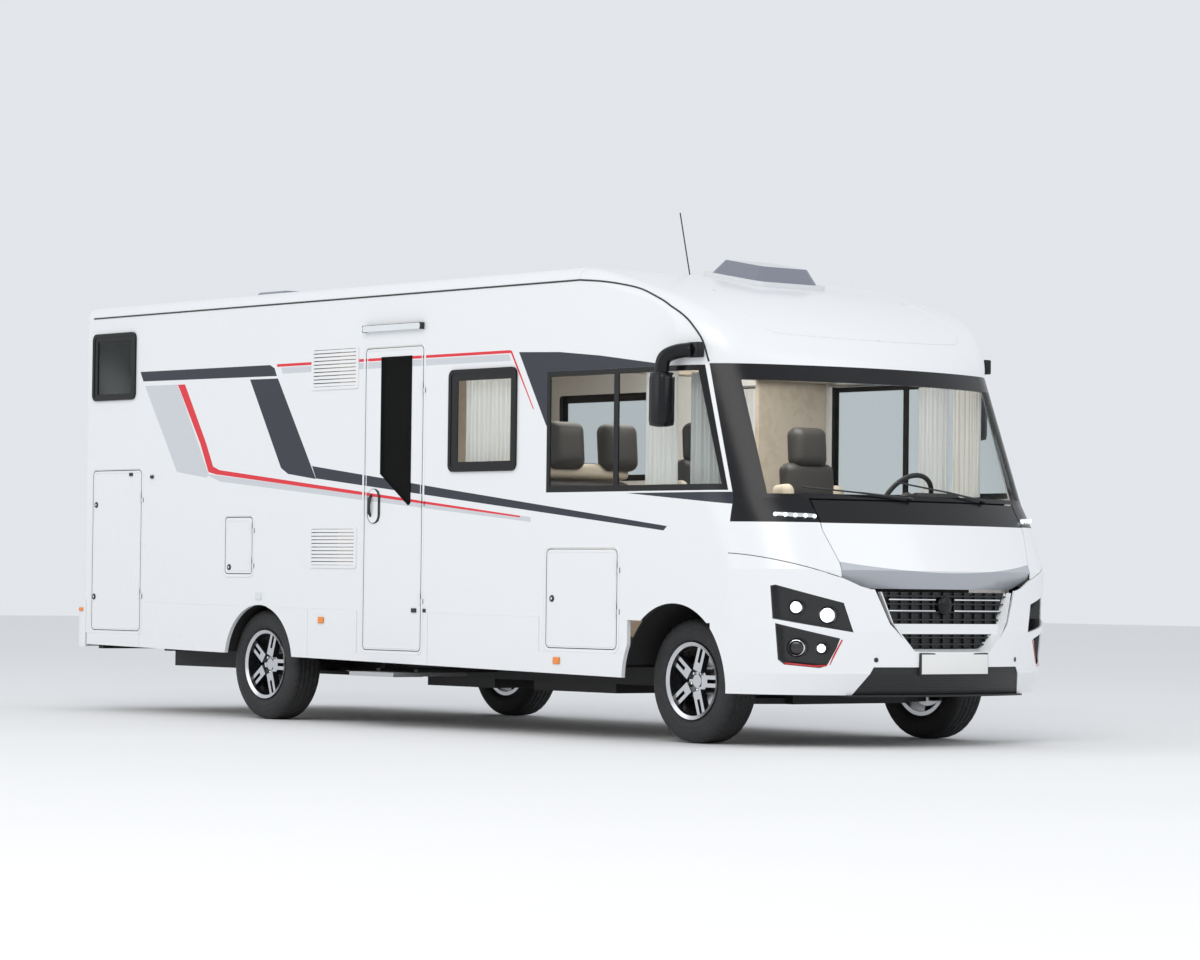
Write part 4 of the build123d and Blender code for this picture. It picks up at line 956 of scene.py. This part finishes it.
handle = Build()
flat_ring(handle, corner_loop(-2926, -2814, 1275, 1472, 50), -1, 20, 7)
handle.block((-2922, -1164.5, 1279), (-2818, -1167, 1468))
handle.tube((
    (-2895, -1166, 1310), (-2893, -1186, 1330), (-2889, -1192, 1375),
    (-2888, -1186, 1425), (-2890, -1168, 1444),
), 10, 12)
handle.piece("door_handle", MAT["trim"], "entry_door")
key = Build()
key.disc((-2848, -1167, 1310), (0, -1, 0), 12, 3, 24)
key.piece("door_key", MAT["chrome"], "entry_door")
catch = Build()
catch.block((-2462, -1164, 715), (-2414, -1173, 741), 3)
catch.piece("door_catch", MAT["trim"], "entry_door")
keeper = Build()
keeper.block((-2345, -1164, 717), (-2318, -1171, 739), 2)
keeper.block((-5409, -1164, 1578), (-5377, -1176, 1600), 4)
keeper.piece("door_keepers", MAT["trim"])
latch = Build()
latch.block((-5672, -1164, 1598), (-5636, -1174, 1620), 3)
latch.piece("locker_latch", MAT["trim"], "locker_rear_right")
light_bar = Build()
light_bar.block((-2972, -1164, 2500), (-2371, -1197, 2505), 2)
for x in (-2975, -2380):
    light_bar.block((x, -1164, 2462), (x + 12, -1198, 2504), 3)
light_bar.piece("porch_light_case", MAT["trim"])

CAP_CREASE = ((-137, -756, 2617), (188, -833, 2476), (341, -753, 2365), (401, -569, 2343), (455, -228, 2334),
              (462, 0, 2333))
creases = Build()
for side in (-1, 1):
    creases.tube([front_point(x, y * -side, z) for x, y, z in smoothed(CAP_CREASE, 5)], 4, 8)
creases.piece("cap_creases", MAT["paint"])

# Lights and trim of the nose

DAY_LIGHTS = ((698, 1006, 1308), (735, 964, 1306), (767, 918, 1303), (796, 868, 1302), (818, 820, 1299))
led_bed, leds = Build(), Build()
for side in (-1, 1):
    led_bed.tube([front_point(x, y * side, z) for x, y, z in smoothed(DAY_LIGHTS, 4)], 15, 10)
    for x, y, z in DAY_LIGHTS:
        leds.dome(front_point(x, y * side, z, 12), (0.75, 0.66 * side, 0), 11, 9, 20)
led_bed.piece("day_light_beds", MAT["mirror"])
leds.piece("day_lights", MAT["led"])

RED_STRIPS = (
    ((790, 1003, 476), (902, 879, 462), (948, 812, 468)),
    ((948, 812, 468), (966, 790, 530), (985, 752, 610)),
)
reds = Build()
for side in (-1, 1):
    for points in RED_STRIPS:
        reds.tube([(x, y * side, z) for x, y, z in smoothed(points, 4)], 6, 8)
reds.piece("lamp_red_strips", MAT["red_lens"])

chrome = Build()
for z in (838, 775):
    for low, high in ((-440, -75), (75, 440)):
        chrome.block((1024, low, z - 4), (1034, high, z + 4), 3)
chrome.piece("grille_bars", MAT["chrome"])
boss = Build()
boss.disc((1020, 0, 806), (1, 0, 0), 56, 16, 48, 50)
boss.dome((1034, 0, 806), (1, 0, 0), 46, 10, 48)
boss.piece("grille_boss", MAT["black"])
plate = Build()
plate.block((1115, -260, 419), (1119.07, 260, 530), 1.5)
plate.piece("number_plate_front", MAT["plate"])
holder = Build()
holder.block((1060, -268, 411), (1113.5, 268, 538), 4)
for y in (-225, 225):
    holder.disc((1117.5, y, 474), (1, 0, 0), 6, 1.5, 16)
holder.piece("plate_holder", MAT["trim"])
sensors = Build()
for y in (-550, 550):
    sensors.disc(front_point(1048, y, 499), (0.85, 0.5 * (1 if y > 0 else -1), 0), 13, 4, 24)
sensors.piece("parking_sensors", MAT["trim"])

# Seal between scuttle and glass, along the arc of the glass

SEAL_STEPS = 40
SEAL_HALF = 790
GLASS_ARC = 2450
SEAL_X = 845
SEAL_SECTION = ((0, 1340), (0, 1428), (-8, 1428), (-8, 1340))
seal_points = []
for i in range(SEAL_STEPS + 1):
    y = -SEAL_HALF + i * 2 * SEAL_HALF / SEAL_STEPS
    seal_points.append((SEAL_X - GLASS_ARC + math.sqrt(GLASS_ARC ** 2 - y ** 2), y))
verts = [at(x + dx, y, z) for dx, z in SEAL_SECTION for x, y in seal_points]
faces = []
for ring in range(len(SEAL_SECTION)):
    for i in range(SEAL_STEPS):
        a = ring * len(seal_points) + i
        b = ((ring + 1) % len(SEAL_SECTION)) * len(seal_points) + i
        faces.append((a, a + 1, b + 1, b))
mesh_piece("scuttle_seal", verts, faces, MAT["trim"], "coach", 40)

# Rear lights and plate

rear_red, rear_amber, rear_clear = Build(), Build(), Build()
for side in (-1, 1):
    y = side * 880
    rear_red.block((-6320, y - 145, 795), (-6312, y - 20, 895), 3)
    rear_amber.block((-6320, y - 15, 795), (-6312, y + 60, 895), 3)
    rear_clear.block((-6320, y + 65, 795), (-6312, y + 145, 895), 3)
    rear_amber.block((-6280, side * 1168, 675), (-6230, side * 1176, 700), 4)
rear_red.block((-6316, -215, 2564), (-6311, 215, 2586), 2)
rear_red.piece("rear_lenses_red", MAT["red_lens"])
rear_amber.piece("rear_lenses_amber", MAT["amber"])
rear_clear.piece("rear_lenses_clear", MAT["clear_lens"])
rear_plate = Build()
rear_plate.block((-6306, -260, 790), (-6300, 260, 902), 2)
rear_plate.piece("number_plate_rear", MAT["plate"])

# Mirrors

MIRROR_ARM = ((-6, 1250, 2085), (0, 1252, 2160), (22, 1242, 2205), (80, 1205, 2232), (150, 1160, 2240))
mirror, mirror_glass = Build(), Build()
for side in (-1, 1):
    mirror.block((-62, side * 1198, 1802), (60, side * 1306, 2118), 36)
    mirror.tube([(x, y * side, z) for x, y, z in smoothed(MIRROR_ARM, 5)], 42, 18)
    mirror.block((112, side * 1122, 2196), (214, side * 1172, 2284), 10)
    mirror_glass.block((-64, side * 1208, 1880), (-58, side * 1296, 2104), 2)
    mirror_glass.block((-64, side * 1208, 1816), (-58, side * 1296, 1868), 2)
mirror.piece("mirror_housings", MAT["black"], replaces=("mirrors",))
mirror_glass.piece("mirror_glasses", MAT["mirror"])

# Ribs on the step's tread

RIBS = 16
RIB_PITCH = 26.5
treads = Build()
for i in range(RIBS):
    x = -2915 + i * RIB_PITCH
    treads.block((x, -1270, 341), (x + 9, -760, 341.9))
treads.piece("step_ribs", MAT["trim"], "entry_step")

# Seats

CUTS = 13
SEAM_PLACE = 0.62
SEAM_SPREAD = 0.03
SEAM_DEPTH = 0.006
WRINKLE = 0.0012


def cushion(name, low, high, radius, crown, material, puff="z", tilt=0.0):
    """Stuffed pad with rounded edges, a crowned face and a seam around its border."""
    a, b = at(*low), at(*high)
    lo = Vector([min(a[i], b[i]) for i in range(3)])
    hi = Vector([max(a[i], b[i]) for i in range(3)])
    bm = bmesh.new()
    bmesh.ops.create_cube(bm, size=1.0)
    bmesh.ops.subdivide_edges(bm, edges=bm.edges[:], cuts=CUTS, use_grid_fill=True)
    size, middle = hi - lo, (hi + lo) / 2
    r = radius / 1000
    axis = "xyz".index(puff)
    others = [i for i in range(3) if i != axis]
    for v in bm.verts:
        p = Vector([v.co[i] * size[i] for i in range(3)])
        core = Vector([max(-size[i] / 2 + r, min(size[i] / 2 - r, p[i])) for i in range(3)])
        out = p - core
        if out.length > 1e-9:
            p = core + out.normalized() * r
        u, w = (2 * p[i] / size[i] for i in others)
        bulge = (1 - u ** 4) * (1 - w ** 4) * crown / 1000
        wrinkle = WRINKLE * math.sin(23 * u + 7 * w) * math.sin(17 * w - 5 * u)
        p[axis] += (bulge + wrinkle) * (2 * p[axis] / size[axis])
        seam = math.exp(-((abs(u) - SEAM_PLACE) / SEAM_SPREAD) ** 2)
        p[axis] -= SEAM_DEPTH * seam * (2 * p[axis] / size[axis])
        v.co = p
    turn = Matrix.Translation(middle) @ Matrix.Rotation(math.radians(tilt), 4, "Y")
    bmesh.ops.transform(bm, matrix=turn, verts=bm.verts)
    mesh = bpy.data.meshes.new(name)
    bm.to_mesh(mesh)
    bm.free()
    obj = placed(name, mesh, material)
    for face in mesh.polygons:
        face.use_smooth = True
    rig.ride(obj, "coach")
    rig.padded(obj, 0.85)


def cab_seat(word, y):
    """Seat on its base, with bolsters, armrests and headrest."""
    x = -330
    cream, taupe = MAT["cream"], MAT["taupe"]
    base = Build()
    base.block((x - 180, y - 150, 600), (x + 120, y + 150, 900), 12)
    base.block((x - 230, y - 225, 880), (x + 230, y + 225, 925), 14)
    base.disc((x - 225, y - 262, 985), (0, 1, 0), 60, 524, 36)
    base.tube(((x - 262, y - 70, 1560), (x - 262, y - 70, 1700)), 8)
    base.tube(((x - 262, y + 70, 1560), (x - 262, y + 70, 1700)), 8)
    base.piece(f"seat_base_{word}", MAT["dash"], replaces=("seats",))
    cushion(f"seat_cushion_{word}", (x - 230, y - 175, 910), (x + 270, y + 175, 1045), 45, 14, cream)
    for side, hand in ((-1, "l"), (1, "r")):
        cushion(f"seat_bolster_{word}_{hand}", (x - 200, y + side * 165, 915), (x + 262, y + side * 250, 1068),
                38, 6, cream)
        cushion(f"back_bolster_{word}_{hand}", (x - 318, y + side * 160, 1010), (x - 172, y + side * 248, 1520),
                40, 6, cream, "x", -4)
        cushion(f"armrest_{word}_{hand}", (x - 240, y + side * 258, 1180), (x + 90, y + side * 306, 1236),
                22, 3, cream)
    cushion(f"seat_back_{word}", (x - 312, y - 170, 1000), (x - 188, y + 170, 1440), 45, 12, cream, "x", -4)
    cushion(f"seat_shoulder_{word}", (x - 330, y - 195, 1420), (x - 215, y + 195, 1650), 50, 8, taupe, "x", -4)
    cushion(f"headrest_{word}", (x - 330, y - 132, 1625), (x - 215, y + 132, 1868), 52, 12, taupe, "x", -4)


cab_seat("passenger", -420)
cab_seat("driver", 420)
cushion("bench_pad", (-1560, -1110, 1060), (-1242, -305, 1150), 40, 12, MAT["cream"])
cushion("bench_back_low", (-1470, -1110, 1150), (-1370, -305, 1440), 42, 14, MAT["cream"], "x", -5)
cushion("bench_back_mid", (-1485, -1110, 1444), (-1398, -305, 1530), 36, 8, MAT["taupe"], "x", -5)
cushion("bench_back_top", (-1495, -1110, 1534), (-1400, -305, 1630), 38, 10, MAT["cream"], "x", -5)
cushion("bench_headrest", (-1470, -540, 1590), (-1350, -270, 1880), 55, 14, MAT["taupe"], "x", -5)
cushion("bench_headrest_far", (-1470, -960, 1590), (-1350, -690, 1880), 55, 14, MAT["taupe"], "x", -5)
cushion("sofa_pad", (-2246, 425, 1061), (-1304, 1110, 1150), 42, 12, MAT["cream"])

# Curtains and linings

STEPS_PER_FOLD = 12
CLOTH_ROWS = 22


def pleated(name, start, stop, z0, z1, folds, depth, material):
    """Cloth that hangs in folds between two points of the floor plan."""
    ax, ay = start
    bx, by = stop
    length = math.hypot(bx - ax, by - ay)
    ux, uy = (bx - ax) / length, (by - ay) / length
    columns = folds * STEPS_PER_FOLD
    line = []
    for i in range(columns + 1):
        u = i / columns
        wave = math.sin(2 * math.pi * folds * u + 0.8 * math.sin(7 * u))
        wave = wave * depth * (0.8 + 0.2 * math.sin(31 * u))
        line.append((ax + (bx - ax) * u - uy * wave, ay + (by - ay) * u + ux * wave))
    verts, faces = [], []
    for j in range(CLOTH_ROWS + 1):
        v = j / CLOTH_ROWS
        for i, (x, y) in enumerate(line):
            sway = 2.2 * math.sin(3.1 * v + i * 0.11)
            verts.append(at(x - uy * sway, y + ux * sway, z1 + (z0 - z1) * v))
    for j in range(CLOTH_ROWS):
        for i in range(columns):
            a = j * (columns + 1) + i
            faces.append((a, a + 1, a + columns + 2, a + columns + 1))
    obj = mesh_piece(name, verts, faces, material, "coach", 60)
    width = sum(math.dist(p, q) for p, q in zip(line, line[1:])) / 1000
    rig.sheet(obj, (width, (z1 - z0) / 1000), "gathered", ("windows",))


for side, word in ((-1, "right"), (1, "left")):
    pleated(f"net_curtain_{word}", (-2030, side * 1095), (-1500, side * 1095), 1600, 2170, 13, 15, MAT["net"])
    pleated(f"front_curtain_{word}", (20, side * 1050), (330, side * 965), 1450, 2120, 11, 17, MAT["drape"])
    pleated(f"cab_net_{word}", (-330, side * 1092), (-60, side * 1082), 1450, 2130, 8, 15, MAT["net"])

linings = Build()
linings.block((-1240, -1128, 2180), (-1110, 1128, 2560), 10)
linings.block((-1235, 560, 640), (-1200, 1120, 2180), 4)
linings.piece("cab_locker_front", MAT["board"])
rails = Build()
for side in (-1, 1):
    rails.tube(((-2070, side * 1100, 2185), (-1460, side * 1100, 2185)), 8)
    rails.tube(((-1130, side * 1098, 2165), (-60, side * 1098, 2160), (190, side * 1040, 2150)), 8)
rails.piece("curtain_rails", MAT["chrome"])

# Stage, light and camera


def area_light(name, place, size, power, color):
    """Square lamp at a point in metres, shining down."""
    data = bpy.data.lights.new(name, "AREA")
    data.energy = power
    data.size = size
    data.color = color
    lamp = bpy.data.objects.new(name, data)
    lamp.location = place
    bpy.context.scene.collection.objects.link(lamp)
    return lamp


LIGHT_AIM = Vector((1.5, 0, 1.2))
CABIN_COLOR = (1.0, 0.95, 0.88)


def stage_and_light():
    """White floor and sky, three lamps around the part and two inside."""
    floor = bpy.data.meshes.new("stage_floor")
    floor.from_pydata([(-60, -60, 0), (60, -60, 0), (60, 60, 0), (-60, 60, 0)], [], [(0, 1, 2, 3)])
    ground = bpy.data.objects.new("stage_floor", floor)
    bpy.context.scene.collection.objects.link(ground)
    s = Shader("stage_floor")
    tone = s.mix(s.noise(0.4, 2.0), rgb(0.80, 0.80, 0.80), rgb(0.83, 0.83, 0.83))
    ground.data.materials.append(s.finish(s.principled(tone, 0.85)))
    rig.stage(ground)
    world = bpy.data.worlds.new("studio")
    bpy.context.scene.world = world
    world.use_nodes = True
    back = world.node_tree.nodes["Background"]
    back.inputs[0].default_value = (0.90, 0.93, 0.97, 1)
    back.inputs[1].default_value = 0.85
    for name, place, size, power, color in (
        ("key", (14, -16, 15), 13, 1750, (1.0, 0.985, 0.96)),
        ("front", (17, 6, 8), 9, 330, (0.95, 0.97, 1.0)),
        ("side", (-8, -17, 8), 12, 420, (1.0, 1.0, 1.0)),
    ):
        lamp = area_light(name, place, size, power, color)
        lamp.rotation_euler = (LIGHT_AIM - Vector(place)).to_track_quat("-Z", "Y").to_euler()
    for place, size, power in (((2.35, 0, 2.42), 0.9, 26), ((0.75, 0, 2.6), 1.4, 30)):
        area_light("cabin", place, size, power, CABIN_COLOR)


# The photo's camera as fitted, in metres from the front axle and in radians
CAMERA_PLACE = (17.3126, -15.9696, 0.9094)
YAW, PITCH, ROLL = 0.881489, 0.025805, 0.012044
FOCAL_PX = 3997.45
IMAGE_WIDTH = 1200
SENSOR_WIDTH = 36.0


def camera():
    """Camera that stands and looks as the photo's did."""
    data = bpy.data.cameras.new("photo_camera")
    data.sensor_fit = "HORIZONTAL"
    data.sensor_width = SENSOR_WIDTH
    data.lens = SENSOR_WIDTH * FOCAL_PX / IMAGE_WIDTH
    data.clip_end = 300
    obj = bpy.data.objects.new("photo_camera", data)
    bpy.context.scene.collection.objects.link(obj)
    ahead = Vector((-math.sin(YAW) * math.cos(PITCH), math.cos(YAW) * math.cos(PITCH), math.sin(PITCH)))
    right = Vector((math.cos(YAW), math.sin(YAW), 0))
    up = right.cross(ahead)
    right_r = right * math.cos(ROLL) + up * math.sin(ROLL)
    up_r = up * math.cos(ROLL) - right * math.sin(ROLL)
    turn = Matrix((right_r, up_r, -ahead)).transposed().to_4x4()
    place = Vector(CAMERA_PLACE) + Vector((FRONT_AXLE, 0, 0))
    obj.matrix_world = Matrix.Translation(place) @ turn
    bpy.context.scene.camera = obj


stage_and_light()
camera()
bpy.context.scene.view_settings.view_transform = "Standard"
SLOTS = {
    "paint_white": "panel", "gloss_black": "black", "matt_black": "trim", "chrome": "alloy",
    "tyre_rubber": "tyre",
    "lamp_on": "lamp", "led_on": "lamp", "reflector": "lamp", "lamp_black": "black", "amber_lens": "lamp",
    "red_lens": "lamp", "clear_lens": "lamp", "plate_white": "panel", "leather_cream": "fabric",
    "leather_dark": "fabric", "net_curtain": "fabric", "drape": "fabric", "cabinet_wood": "board",
    "dash_plastic": "trim",
}
for piece in list(bpy.context.scene.objects):
    if piece.type == "MESH" and piece.name not in NODES and piece.active_material.name in SLOTS:
        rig.slot(piece, SLOTS[piece.active_material.name])
json.dump(
    {"cad": [list(v) for v in cad_bounds], "model": [list(v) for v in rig.bounds()]},
    open("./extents.json", "w"),
)
